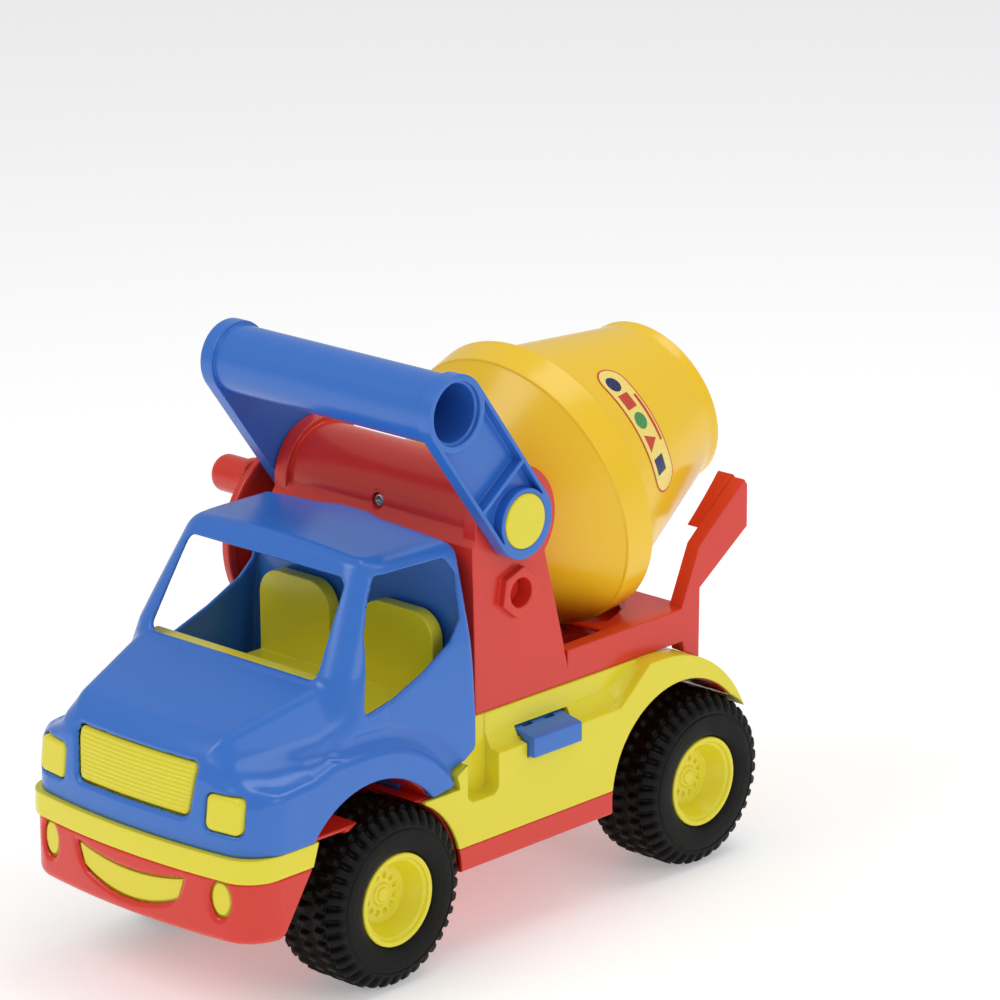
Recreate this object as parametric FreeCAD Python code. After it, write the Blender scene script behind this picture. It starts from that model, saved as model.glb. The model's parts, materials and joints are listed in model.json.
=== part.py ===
import FreeCAD, Part
import math
import os

# Toy cement mixer lorry, in millimetres.
# Working frame: +X is the lorry's own left, -Y its front, +Z up, x = 0 the symmetry plane
# and y = 0 midway between the axles.
# Each shape is moved when it is saved, so that the origin is on the floor, in the middle
# of the whole outline.

V = FreeCAD.Vector
UP = V(0, 0, 1)

# ---------------------------------------------------------------- driving sizes
wheelbase = 225.0
wall = 2.4                     # moulded wall of the large shells
gap = 0.3                      # clearance between neighbouring pieces that move apart
running = 0.08                 # radial clearance of a pin in its bearing

axle_z = 44.6
tyre_radius = 46.0
tyre_width = 44.0
tyre_face_x = 86.0             # outer face of the tyre
rim_radius = 23.7              # seat of the tyre on the rim
axle_radius = 2.0
wheel_clearance = 1.6          # tyre to wheel housing

body_half_width = 81.7         # chassis side
cab_half_width = 81.0
skirt_z = 56.7                 # lower edge of the chassis side, top of the base strip
base_z = 44.0                  # underside of the base plate
band_z = 76.0                  # lower edge of the front band
seat_z = 88.0                  # top of the front band, where the cab sits
shelf_z = 99.6                 # outer edge of the side shelf
riser_z = 108.0                # top of the slope behind the side shelf
deck_z = 118.0                 # flat top of the chassis
riser_x = 72.0                 # half width of the raised deck

front_overhang = 100.5         # front axle to the middle of the bumper
cab_back = 62.5                # front axle to the back of the cab
rear_overhang = 35.5           # rear axle to the back of the chassis
cab_roof_z = 213.5

tower_half_width = 70.7
crank_setback = 36.0           # back of the cab to the crank axis
crank_z = 175.5
drum_tilt = 14.7               # degrees
handle_pivot_z = 213.8
hump_z = 211.0                 # centre of the tower's round top
hump_radius = 25.5
ear_radius = 28.5
rail_width = 8.7
rail_z = 135.0

handle_reach = 79.8            # pivot to the axis of the hand tube
handle_angle = 126.3           # degrees from +Y, at rest
arm_radius = 19.4
arm_thickness = 8.4
tube_radius = 17.4
tube_bore = 14.6
cap_radius = 14.0

drum_front_radius = 42.0
drum_band_radius = 78.0
drum_band_taper = 1.8          # the band is this much smaller in radius at its front edge
drum_step = 6.0                # band down to the rear cone
drum_mouth_radius = 45.0
drum_wall = 2.2
drum_front_s = 31.0            # distances along the drum axis from the crank axis
band_front_s = 77.0
band_rear_s = 95.5
drum_mouth_s = 185.5
bulkhead_s = 24.5
bulkhead_thickness = 3.0
bearing_radius = 9.0

crank_radius = 49.0
crank_face_x = 89.0
crank_thickness = 6.0
knob_offset = 39.0
knob_angle = 129.0             # degrees from +Y, at rest
knob_radius = 9.8
knob_length = 24.0
shaft_radius = 7.5

gear_teeth = 16
gear_pitch_radius = 16.0
gear_face = 6.0

# ---------------------------------------------------------------- derived places
front_axle_y = -wheelbase / 2
rear_axle_y = wheelbase / 2
bumper_y = front_axle_y - front_overhang
cab_back_y = front_axle_y + cab_back
crank_y = cab_back_y + crank_setback
handle_y = crank_y - 2.1
hump_y = crank_y + 0.5
chassis_back_y = rear_axle_y + rear_overhang
tilt = math.radians(drum_tilt)
drum_axis = V(0, math.cos(tilt), math.sin(tilt))
drum_up = V(0, -math.sin(tilt), math.cos(tilt))
crank_centre = V(0, crank_y, crank_z)
well_inner_x = 38.0
housing_radius = tyre_radius + wheel_clearance
fender_centre = (rear_axle_y - 28.5, 48.0)
fender_radius = deck_z - fender_centre[1]
rear_arch = (rear_axle_y - 14.5, 50.0, 52.5)       # y, z and radius of the opening
front_arch = (front_axle_y - 12.0, 56.3, 51.6)
housing_wall = 2.0
housing_inset = wall + 0.5     # the housings stop this far inside the chassis's outer face
knob_end_x = crank_face_x + knob_length
knob_turn = 90.0 - knob_angle             # about the crank axis, from straight up
mouth_lip = 1.4
drum_tail_y = crank_y + drum_mouth_s * drum_axis.y + (drum_mouth_radius + mouth_lip) * drum_axis.z
far_x = 1.5 * max(body_half_width, tyre_face_x)      # well outside every side
origin = V((tyre_face_x - knob_end_x) / 2, (bumper_y + drum_tail_y) / 2, axle_z - tyre_radius)


# ---------------------------------------------------------------- shape helpers
def box(x0, x1, y0, y1, z0, z1):
    return Part.makeBox(x1 - x0, y1 - y0, z1 - z0, V(x0, y0, z0))


def cyl_x(r, x0, x1, y, z):
    return Part.makeCylinder(r, x1 - x0, V(x0, y, z), V(1, 0, 0))


def cyl_y(r, y0, y1, x, z):
    return Part.makeCylinder(r, y1 - y0, V(x, y0, z), V(0, 1, 0))


def cyl_z(r, z0, z1, x, y):
    return Part.makeCylinder(r, z1 - z0, V(x, y, z0), UP)


def prism_x(points, x0, x1):
    """A (y, z) outline pushed along X."""
    wire = Part.makePolygon([V(x0, y, z) for y, z in points + points[:1]])
    return Part.Face(wire).extrude(V(x1 - x0, 0, 0))


def prism_y(points, y0, y1):
    """An (x, z) outline pushed along Y."""
    wire = Part.makePolygon([V(x, y0, z) for x, z in points + points[:1]])
    return Part.Face(wire).extrude(V(0, y1 - y0, 0))


def fuse(*shapes):
    body = shapes[0]
    if len(shapes) > 1:
        body = body.multiFuse(list(shapes[1:]))
    return body.removeSplitter()


def cut(body, *tools):
    for tool in tools:
        body = body.cut(tool)
    return body


def mirror(shape):
    return shape.mirror(V(0, 0, 0), V(1, 0, 0))


def round_edges(shape, radius, wanted):
    edges = [edge for edge in shape.Edges if wanted(edge)]
    return shape.makeFillet(radius, edges)


def along_x(edge):
    a, b = edge.Vertexes[0].Point, edge.Vertexes[-1].Point
    return abs(a.y - b.y) < 1e-4 and abs(a.z - b.z) < 1e-4 and abs(a.x - b.x) > 1e-4


def along_y(edge):
    a, b = edge.Vertexes[0].Point, edge.Vertexes[-1].Point
    return abs(a.x - b.x) < 1e-4 and abs(a.z - b.z) < 1e-4 and abs(a.y - b.y) > 1e-4


def turned(profile):
    """An (r, s) outline revolved about the Z axis, s running along Z."""
    wire = Part.makePolygon([V(r, 0, s) for r, s in profile + profile[:1]])
    return Part.Face(wire).revolve(V(0, 0, 0), UP, 360)


def on_drum(shape):
    """From a local frame, Z along the drum and Y across it upwards, to its place in the lorry."""
    turn = FreeCAD.Rotation(V(-1, 0, 0), drum_up, drum_axis, "ZXY")
    return shape.transformed(FreeCAD.Placement(crank_centre, turn).toMatrix())


def on_crank(shape):
    """From a local frame, Z along -X, to the crank axis."""
    turn = FreeCAD.Rotation(V(0, 1, 0), -90)
    return shape.transformed(FreeCAD.Placement(crank_centre, turn).toMatrix())


def save(name, shape):
    moved = shape.translated(-origin)
    moved.exportStep("parts/" + name + ".step")
    solids = len(moved.Solids)
    print(f"{name:22s} solids {solids:2d} valid {moved.isValid()} {moved.Volume / 1000:8.1f} cm3")


# ---------------------------------------------------------------- bowed front outline
def front_outline(inset, front_y, back_y, half_width):
    """Plan outline with a bowed front and round corners, open at no side."""
    hw = half_width - inset
    nose = front_y + inset
    bow = 4.5
    corner = 19.0 - inset
    a = V(-(hw - corner), nose + bow, 0)
    b = V(hw - corner, nose + bow, 0)
    c = V(hw, nose + bow + corner, 0)
    d = V(-hw, nose + bow + corner, 0)
    diagonal = corner * (1 - math.sqrt(0.5))
    front = Part.Arc(a, V(0, nose, 0), b).toShape()
    left = Part.Arc(b, V(hw - diagonal, nose + bow + diagonal, 0), c).toShape()
    right = Part.Arc(d, V(-hw + diagonal, nose + bow + diagonal, 0), a).toShape()
    e, f = V(hw, back_y, 0), V(-hw, back_y, 0)
    sides = [Part.makeLine(c, e), Part.makeLine(e, f), Part.makeLine(f, d)]
    return Part.Wire([front, left] + sides + [right])


def front_block(inset, front_y, back_y, half_width, z0, z1):
    wire = front_outline(inset, front_y, back_y, half_width)
    wire.translate(V(0, 0, z0))
    return Part.Face(wire).extrude(V(0, 0, z1 - z0))


# ---------------------------------------------------------------- wheel housings
def rear_housing(offset, x0, x1):
    y, z, r = rear_arch
    opening = cyl_x(r + offset, x0, x1, y, z)
    round_wheel = cyl_x(housing_radius + offset, x0, x1, rear_axle_y, axle_z)
    return fuse(opening, round_wheel)


def front_housing(offset, x0, x1):
    y, z, r = front_arch
    opening = cyl_x(r + offset, x0, x1, y, z)
    opening = cut(opening, box(x0 - 1, x1 + 1, y - 80, y + 80, -50, seat_z - offset + 0.2))
    round_wheel = cyl_x(housing_radius + offset, x0, x1, front_axle_y, axle_z)
    return fuse(opening, round_wheel)


# ---------------------------------------------------------------- chassis shell
def chassis_envelope(inset, x0, x1):
    """Raised deck that runs back and falls away round the rear fender."""
    cy, cz = fender_centre
    r = fender_radius - inset
    back = chassis_back_y - inset
    front = front_axle_y + 22.5 + inset
    step = cab_back_y + 1.0 + inset
    drop_z = cz + math.sqrt(r * r - (back - cy) ** 2)
    half = (math.asin((back - cy) / r)) / 2
    points = [V(x0, front, skirt_z), V(x0, front, seat_z - inset), V(x0, step, seat_z - inset),
              V(x0, step, deck_z - inset), V(x0, cy, deck_z - inset)]
    middle = V(x0, cy + r * math.sin(half), cz + r * math.cos(half))
    end = V(x0, back, drop_z)
    edges = [Part.makeLine(a, b) for a, b in zip(points, points[1:])]
    edges.append(Part.Arc(points[-1], middle, end).toShape())
    edges.append(Part.makeLine(end, V(x0, back, skirt_z)))
    edges.append(Part.makeLine(V(x0, back, skirt_z), points[0]))
    return Part.Face(Part.Wire(edges)).extrude(V(x1 - x0, 0, 0))


ramp_y = fender_centre[0] - 32.0       # shelf meets the rise to the fender
crown_y = fender_centre[0] - 9.0


def scoop():
    """Space above the side shelf, ending in a ramp up to the fender."""
    outer = body_half_width + 10
    foot = riser_x + 4.0
    low = shelf_z - 0.18 * (outer - body_half_width)
    start = [(riser_x, deck_z + 9), (riser_x, riser_z), (foot, shelf_z + 1.0), (outer, low),
             (outer, deck_z + 9)]
    finish = [(riser_x, deck_z + 9), (riser_x, deck_z + 0.5), (foot, deck_z + 0.5),
              (outer, deck_z + 0.4), (outer, deck_z + 9)]
    straight = prism_y(start, front_axle_y + 20, ramp_y)
    ring = [Part.makePolygon([V(x, y, z) for x, z in rows + rows[:1]])
            for rows, y in ((start, ramp_y), (finish, crown_y))]
    return fuse(straight, Part.makeLoft(ring, True, True))


pocket = (cab_back_y - 10.0, cab_back_y + 12.0, 79.0, 8.0)   # y0, y1, floor z, depth
ledge_y0, ledge_y1 = crank_y - 3.4, crank_y + 35.0
ledge_inner_x = 67.0
cup_centre = (74.5, crank_y + 22.5)                          # x (on the right side) and y
cup_bore = 15.5
cup_radius = 18.0
cup_floor_z = 61.0
cup_top_z = 98.0
screw_posts = [(28.0, bumper_y + 18.0), (62.0, cab_back_y + 8.0), (62.0, ramp_y - 26.0),
               (25.0, chassis_back_y - 10.0)]
screw_head_z = 49.0
post_radius = 4.5


def side_block():
    """Side panel under the cab's cut-away corner and in front of the deck."""
    y = cab_back_y
    points = [(y - 15.7, skirt_z), (y - 15.7, seat_z + 2), (y - 17.4, seat_z + 7),
              (y - 10, shelf_z), (y + 3, shelf_z), (y + 3, skirt_z)]
    return prism_x(points, riser_x - 4, body_half_width)


def chassis_shell():
    block = fuse(chassis_envelope(0, -body_half_width, body_half_width),
                 side_block(), mirror(side_block()))
    block = cut(block, scoop(), mirror(scoop()))
    inner_x = body_half_width - wall
    y_front = front_axle_y + 22.5 + wall
    low = box(-inner_x, inner_x, y_front, ramp_y + 8, skirt_z - 1, seat_z - wall)
    shelf = box(-inner_x, inner_x, cab_back_y + 1 + wall, ramp_y, skirt_z - 1, shelf_z - wall)
    deck = chassis_envelope(wall, -riser_x + wall, riser_x - wall)
    rear = chassis_envelope(wall, -inner_x, inner_x)
    rear = rear.common(box(-far_x, far_x, crown_y + wall, chassis_back_y, skirt_z, deck_z))
    hollow = fuse(low, shelf, deck, rear)
    hollow = fuse(hollow, hollow.translated(V(0, 0, -1.5)))
    shell = cut(block, hollow)

    y0, y1, floor, depth = pocket
    pocket_wall = box(inner_x - depth - wall, inner_x + 0.5, y0 - wall, y1 + wall,
                      floor - wall, shelf_z - 2)
    pocket_cut = box(inner_x - depth, far_x, y0, y1, floor, deck_z)
    pocket_cut = round_edges(pocket_cut, 5.0, lambda e: along_x(e) and e.Vertexes[0].Z < floor + 1)
    for side in (1, -1):
        tools = [pocket_wall, pocket_cut]
        if side < 0:
            tools = [mirror(tool) for tool in tools]
        shell = cut(fuse(shell, tools[0]), tools[1])

    band = front_block(0, bumper_y, cab_back_y - 10, body_half_width, band_z, seat_z)
    band_inner = front_block(wall, bumper_y, cab_back_y - 10 - wall, body_half_width,
                             band_z - 1, seat_z - wall)
    band = cut(band, band_inner)
    band_end = [(front_axle_y - 49.5, seat_z + 1), (front_axle_y - 49.5, seat_z),
                (front_axle_y - 53.5, band_z), (front_axle_y - 53.5, band_z - 1),
                (cab_back_y, band_z - 1), (cab_back_y, seat_z + 1)]
    strip_x = well_inner_x - housing_wall - gap
    band = cut(band, prism_x(band_end, strip_x, far_x), mirror(prism_x(band_end, strip_x, far_x)))
    spine = cut(box(-strip_x, strip_x, front_axle_y - 49.5, cab_back_y - 5, band_z, seat_z),
                box(-strip_x + wall, strip_x - wall, front_axle_y - 60, cab_back_y, band_z - 1,
                    seat_z - wall))
    shell = fuse(shell, band, spine)

    for x, y in screw_posts:
        top = deck_z - 1 if y > cab_back_y + 4 else seat_z - 1
        post = cyl_z(post_radius, screw_head_z + 3.0, top, x, y)
        if y > rear_axle_y:
            room = box(-far_x, far_x, 0, chassis_back_y, 0, skirt_z)
            post = post.common(fuse(chassis_envelope(1.0, -far_x, far_x), room))
        shell = fuse(shell, post, mirror(post))
    for x, y in screw_posts:
        pilot = cyl_z(1.5, screw_head_z, screw_head_z + 14.0, x, y)
        shell = cut(shell, pilot, mirror(pilot))

    side = [rear_housing(0, well_inner_x - housing_wall - gap, far_x),
            front_housing(0, body_half_width - wall - 14, far_x)]
    reach_x = body_half_width - housing_inset
    wide = [rear_housing(housing_wall + gap, well_inner_x - housing_wall - gap, reach_x),
            front_housing(housing_wall + gap, well_inner_x - housing_wall - gap, reach_x)]
    keep = chassis_envelope(housing_inset, -reach_x, reach_x)
    wide[0] = wide[0].common(fuse(keep, keep.translated(V(0, 0, -30))))
    for tool in side + wide:
        shell = cut(shell, tool, mirror(tool))

    ledge_notch = fuse(box(body_half_width - 5, far_x, ledge_y0, ledge_y1, 92.0, 110),
                       box(ledge_inner_x - gap, far_x, ledge_y0, ledge_y1, 101.5, 106.4))
    cup_notch = box(-far_x, -cup_centre[0] + 13.5, cup_centre[1] - cup_radius - 2,
                    cup_centre[1] + cup_radius + 2, cup_floor_z - 3.2, 110)
    return cut(shell, ledge_notch, cup_notch)


# ---------------------------------------------------------------- base plate
def bumper_end():
    """Slanted rear end of the bumper, in front of the wheel."""
    return [(front_axle_y - 53.5, band_z + 1), (front_axle_y - 53.5, band_z),
            (front_axle_y - 74.5, base_z), (front_axle_y - 74.5, base_z - 1),
            (cab_back_y, base_z - 1), (cab_back_y, band_z + 1)]


def smile_opening(inset, y0, y1):
    """Crescent grille opening in the bumper."""
    a, b = V(-37 + inset, y0, 71 - inset), V(37 - inset, y0, 71 - inset)
    c, d = V(33 - inset, y0, 60 + inset), V(-33 + inset, y0, 60 + inset)
    top = Part.Arc(a, V(0, y0, 66.5 - inset), b).toShape()
    low = Part.Arc(c, V(0, y0, 52.5 + inset), d).toShape()
    wire = Part.Wire([top, Part.makeLine(b, c), low, Part.makeLine(d, a)])
    return Part.Face(wire).extrude(V(0, y1 - y0, 0))


def oval_opening(inset, y0, y1):
    oval = Part.Ellipse(V(0, 0, 0), 8.5 - inset, 5.6 - inset).toShape()
    oval.rotate(V(0, 0, 0), V(1, 0, 0), 90)
    oval.rotate(V(0, 0, 0), V(0, 1, 0), 90)
    oval.translate(V(60.0, y0, 66.0))
    return Part.Face(Part.Wire(oval)).extrude(V(0, y1 - y0, 0))


def base_plate():
    floor_top = base_z + wall
    bumper = front_block(0.3, bumper_y, front_axle_y - 40, body_half_width, base_z, band_z)
    bumper = round_edges(bumper, 5.0, lambda e: abs(e.BoundBox.ZMax - base_z) < 0.01
                         and e.BoundBox.YMax < front_axle_y - 45)
    hollow = front_block(0.3 + wall, bumper_y, front_axle_y - 39, body_half_width,
                         floor_top, band_z + 1)
    bumper = cut(bumper, hollow)
    ends = prism_x(bumper_end(), well_inner_x - housing_wall, far_x)
    bumper = cut(bumper, ends, mirror(ends))

    middle = box(-body_half_width, body_half_width, front_axle_y + 40, ramp_y, base_z, skirt_z)
    middle = round_edges(middle, 2.0, lambda e: along_y(e) and e.Vertexes[0].Z < base_z + 1)
    middle = cut(middle, box(-body_half_width + wall, body_half_width - wall,
                             front_axle_y, ramp_y + 10, floor_top, skirt_z + 1))
    spine = box(-well_inner_x, well_inner_x, front_axle_y - 45, chassis_back_y, base_z, floor_top)
    plate = fuse(bumper, middle, spine)

    inset = housing_inset + gap
    inner_x = body_half_width - inset
    rear_space = chassis_envelope(inset, -inner_x, inner_x)
    rear_space = fuse(rear_space, box(-inner_x, inner_x, rear_axle_y - 80, chassis_back_y - inset,
                                      base_z, skirt_z))
    rear_shell = cut(rear_housing(housing_wall, well_inner_x - housing_wall, inner_x),
                     rear_housing(0, well_inner_x, far_x),
                     box(0, far_x, 0, 200, -50, base_z))
    rear_shell = rear_shell.common(rear_space)
    front_shell = cut(front_housing(housing_wall, well_inner_x - housing_wall, inner_x - 1.5),
                      front_housing(0, well_inner_x, far_x),
                      box(0, far_x, -200, 0, -50, base_z))
    front_shell = cut(front_shell, box(well_inner_x, far_x, -250, front_axle_y, 0, seat_z - 3))
    opening_cuts = [rear_housing(0, well_inner_x, far_x), front_housing(0, well_inner_x, far_x)]
    opening_cuts[1] = opening_cuts[1].common(box(0, far_x, front_axle_y - 40, 0, 0, 200))
    for tool in opening_cuts:
        plate = cut(plate, tool, mirror(tool))
    plate = fuse(plate, rear_shell, mirror(rear_shell), front_shell, mirror(front_shell))

    for y in (front_axle_y, rear_axle_y):
        boss = cyl_x(5.0, 28.0, well_inner_x - 0.5, y, axle_z)
        foot = box(28.0, 32.0, y - 5, y + 5, base_z, axle_z + 2)
        plate = fuse(plate, boss, foot, mirror(boss), mirror(foot))
        plate = cut(plate, cyl_x(axle_radius + running, -60, 60, y, axle_z))
    for x, y in screw_posts:
        boss = cyl_z(post_radius + 1.5, base_z, screw_head_z + 3.0, x, y)
        plate = fuse(plate, boss, mirror(boss))
    for x, y in screw_posts:
        head = cyl_z(3.6, base_z - 1, screw_head_z, x, y)
        hole = cyl_z(1.7, base_z, screw_head_z + 4, x, y)
        plate = cut(plate, head, hole, mirror(head), mirror(hole))

    lamp = oval_opening(0, bumper_y - 5, bumper_y + 12)
    openings = [smile_opening(0, bumper_y - 5, bumper_y + 12), lamp, mirror(lamp)]
    return cut(plate, *openings)


def bumper_insert():
    """Yellow panel behind the bumper that shows through its openings."""
    back_y = bumper_y + 40
    back = cut(front_block(wall + 0.5, bumper_y, back_y, body_half_width, base_z + 5, band_z),
               front_block(wall + 2.3, bumper_y, back_y + 1, body_half_width, base_z, band_z + 1),
               box(-far_x, far_x, bumper_y + 16, back_y + 2, 0, seat_z + 2))
    face = cut(front_block(1.2, bumper_y, back_y, body_half_width, base_z, band_z),
               front_block(wall + 1.5, bumper_y, back_y + 1, body_half_width, base_z - 1,
                           band_z + 1))
    smile = smile_opening(gap / 2, bumper_y - 5, bumper_y + 12)
    lamp = oval_opening(gap / 2, bumper_y - 5, bumper_y + 12)
    pads = [face.common(tool) for tool in (smile, lamp, mirror(lamp))]
    return fuse(back, *pads)


# ---------------------------------------------------------------- cab
belt_z = 124.0
roof_edge_z = 205.0


def plan_ring(half_width, y0, y1, front_round, z):
    """Plan section of the cab's upper part, with round front corners."""
    r = front_round
    k = r * (1 - math.sqrt(0.5))
    a, b = V(-half_width + r, y0, z), V(half_width - r, y0, z)
    c, d = V(half_width, y0 + r, z), V(-half_width, y0 + r, z)
    e, f = V(half_width, y1, z), V(-half_width, y1, z)
    edges = [Part.makeLine(a, b), Part.Arc(b, V(half_width - k, y0 + k, z), c).toShape(),
             Part.makeLine(c, e), Part.makeLine(e, f), Part.makeLine(f, d),
             Part.Arc(d, V(-half_width + k, y0 + k, z), a).toShape()]
    return Part.Wire(edges)


def greenhouse(inset):
    y = cab_back_y
    i = inset
    rings = [plan_ring(80.7 - i, y - 104 + i, y - i, 17, belt_z - 3),
             plan_ring(77.0 - i, y - 90 + i, y - i, 17, 160),
             plan_ring(67.0 - i, y - 65 + i, y - 0.3 - i, 14, roof_edge_z),
             plan_ring(58.0 - i, y - 54 + i, y - 2.5 - i, 12, cab_roof_z - i)]
    return Part.makeLoft(rings, True, True)


def hood(inset):
    i = inset
    rear_y = cab_back_y - 70
    sections = [(bumper_y + 8.0 + i, 44 - i, 130 - i, 50 - i, 100),
                (bumper_y + 18.0 + i, 50 - i, 141 - i, 60 - i, 118),
                (cab_back_y - 87, 63 - i, 158 - i, 77 - i, 130),
                (rear_y, 66 - i, 160 - i, 78 - i, 132)]
    rings = []
    for y, top_x, top_z, foot_x, foot_z in sections:
        rows = [(-foot_x, 95), (-foot_x, foot_z), (-top_x, top_z), (top_x, top_z), (foot_x, foot_z),
                (foot_x, 95)]
        rings.append(Part.makePolygon([V(x, y, z) for x, z in rows + rows[:1]]))
    return Part.makeLoft(rings, True, True)


def fenders(inset, foot_z):
    """Lower cab body: nose, wheel fenders and the cut-away rear corner."""
    i = inset
    f, y = front_axle_y, cab_back_y
    nose = bumper_y + 3.0
    points = [(nose + i, foot_z), (nose + 2 + i, 101), (nose + 5.5 + i, 122 - i),
              (nose + 11 + i, 126 - i), (f - 60, 129 - i), (f - 38, 133 - i), (f - 26, 134.5 - i),
              (f - 11, 130 - i), (f + 6, 126.4 - i), (f + 21, 126 - i), (y - i, 126 - i),
              (y - i, 107), (y - 18 - i, 95.6), (y - 16 - i, 90.0), (y - 16 - i, foot_z)]
    body = prism_x(points, -cab_half_width + i, cab_half_width - i)
    return body.common(front_block(i, bumper_y + 3.0, y + 5, cab_half_width, foot_z - 1, 140))


def arch_lip():
    """Raised lip round the front wheel opening."""
    y, z, r = front_arch
    lip = cut(cyl_x(r + 6.5, cab_half_width - 4, cab_half_width + 1.2, y, z),
              cyl_x(r, cab_half_width - 5, cab_half_width + 3, y, z))
    return cut(lip, box(60, far_x, y - 70, y + 70, -50, seat_z))


def window_outline(y):
    """Side window, as (y, z) points behind the front axle."""
    f = front_axle_y
    return [(f - 15.0, 141.8), (f - 12.9, 153), (f - 7.0, 179), (f + 0.9, 193), (f + 7.5, 199),
            (f + 16.0, 203), (y - 9.0, 201), (y - 4.8, 193.8), (y - 6.5, 172), (y - 14.6, 163),
            (y - 34.7, 152.8), (y - 56.8, 144.6)]


def grille_outline(inset):
    i = inset
    return [(-38.5 + i, 102.2 + i), (-42 + i, 128.5 - i), (42 - i, 128.5 - i), (38.5 - i, 102.2 + i)]


def headlight(inset, y0, y1):
    block = box(49.5 + inset, 71.0 - inset, y0, y1, 98.5 + inset, 117.0 - inset)
    return round_edges(block, 4.0 - inset, along_y)


def cab_core(inset):
    """Space inside the cab."""
    return fuse(greenhouse(inset), hood(inset), fenders(inset, seat_z - 3))


def cab_shell():
    shell = fuse(greenhouse(0), hood(0), fenders(0, seat_z), arch_lip(), mirror(arch_lip()))
    shell = cut(shell, cab_core(wall))
    front_window = [(-58.7, 157.3), (-54.9, 202.5), (54.9, 202.5), (58.7, 157.3)]
    window_cut = prism_y(front_window, cab_back_y - 110, cab_back_y - 45)
    window_cut = round_edges(window_cut, 5.0, along_y)
    side_cut = round_edges(prism_x(window_outline(cab_back_y), -far_x, far_x), 3.0, along_x)
    y, z, r = front_arch
    arch_cut = cyl_x(r, 60, far_x, y, z)
    grille_cut = round_edges(prism_y(grille_outline(0), bumper_y - 5, bumper_y + 22), 3.0, along_y)
    lamp_cut = headlight(0, bumper_y - 5, bumper_y + 22)
    return cut(shell, window_cut, side_cut, arch_cut, mirror(arch_cut), grille_cut, lamp_cut,
               mirror(lamp_cut))


def grille_insert():
    """Yellow panel behind the cab's face: grille and both headlights."""
    back_y = bumper_y + 3.0 + wall + 4.2
    plate = box(-73, 73, back_y, back_y + 2.0, seat_z + 5, 119.5)
    middle = box(-46, 46, back_y + 0.2, back_y + 3.5, seat_z + 5, 128.5)
    grille = round_edges(prism_y(grille_outline(gap / 2), bumper_y + 8.2, back_y + 3.0), 2.8, along_y)
    slats = [box(-40, 40, bumper_y + 8, bumper_y + 8.9, 104.4 + 2.6 * k, 105.2 + 2.6 * k)
             for k in range(9)]
    grille = cut(grille, *slats)
    lamp = headlight(gap / 2, bumper_y + 5.5, back_y + 1)
    panel = fuse(plate, middle).common(cab_core(wall + gap))
    return fuse(panel, grille, lamp, mirror(lamp))


def seat(x):
    """One moulded seat: cushion and a leaning back with a round top."""
    y = cab_back_y
    cushion = round_edges(box(x - 25, x + 25, y - 48, y - 9, 113.5, 128), 4.0, along_x)
    back = box(x - 25, x + 25, y - 13, y - 5.5, 113.5, 172)
    back = round_edges(back, 14.0, lambda e: abs(e.Vertexes[0].Z - 172) < 1
                       and e.Length < 8.5 and abs(e.Vertexes[0].Z - e.Vertexes[-1].Z) < 0.1)
    return fuse(cushion, back)


def cab_interior():
    """Seats, dash and floor in one moulding, standing on two cross ribs."""
    y = cab_back_y
    dash = prism_x([(y - 88, 113.5), (y - 88, 150), (y - 84, 154), (y - 76, 154), (y - 70, 146),
                    (y - 68, 113.5)], -68, 68)
    floor = box(-74, 74, y - 88, y - 5, 111.5, 114)
    ribs = [box(-30, 30, y - 30, y - 26, seat_z, 112.5), box(-30, 30, y - 86, y - 82, seat_z, 112.5)]
    return fuse(dash, floor, seat(36.0), seat(-36.0), *ribs)


# ---------------------------------------------------------------- mixer frame
def bulkhead_point(s, t):
    """The (y, z) place at s along the drum axis and t across it."""
    p = crank_centre + drum_axis * s + drum_up * t
    return (p.y, p.z)


def tower_outline(inset):
    """Side view of the tower between the deck and the hump."""
    i = inset
    hy, hz, r = hump_y, hump_z, hump_radius - inset
    y = cab_back_y
    rear_low = bulkhead_point(bulkhead_s, -(crank_z - deck_z + 12))
    rear_top = bulkhead_point(bulkhead_s, 27 - inset)
    slope = (rear_top[0] - rear_low[0]) / (rear_top[1] - rear_low[1])
    rear_deck_y = rear_low[0] + slope * (deck_z - rear_low[1])
    return [(y + 7 + i, deck_z), (y + 6 + i, 182), (y + 5.5 + i, 204 - i), (hy - r, hz),
            (hy + r - 4, hz), rear_top, (rear_deck_y, deck_z)]


def drum_clearance(extra):
    """Space swept by the turning drum, with room round it."""
    r = drum_band_radius + extra
    profile = [(0, drum_front_s - 2), (drum_front_radius + extra, drum_front_s - 2),
               (r, band_front_s - 2), (r, band_rear_s + 2),
               (drum_mouth_radius + extra + 4, drum_mouth_s + 5), (0, drum_mouth_s + 5)]
    return on_drum(turned(profile))


rail_start_y = crank_y + 38.0
post_y = crank_y + 124.0               # front edge of the rear posts


def rear_post():
    """Side plate of the rear support, leaning out to the tail."""
    y = post_y
    points = [(rail_start_y, deck_z), (rail_start_y, rail_z), (y, rail_z + 1), (y + 14, 167),
              (y + 49, 195), (y + 51.5, 191.5), (y + 51.5, 169), (y + 14.5, 144),
              (y + 14, deck_z - 13.5), (y + 4, deck_z - 13.5), (y + 1, deck_z)]
    return prism_x(points, tower_half_width - rail_width, tower_half_width)


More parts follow.
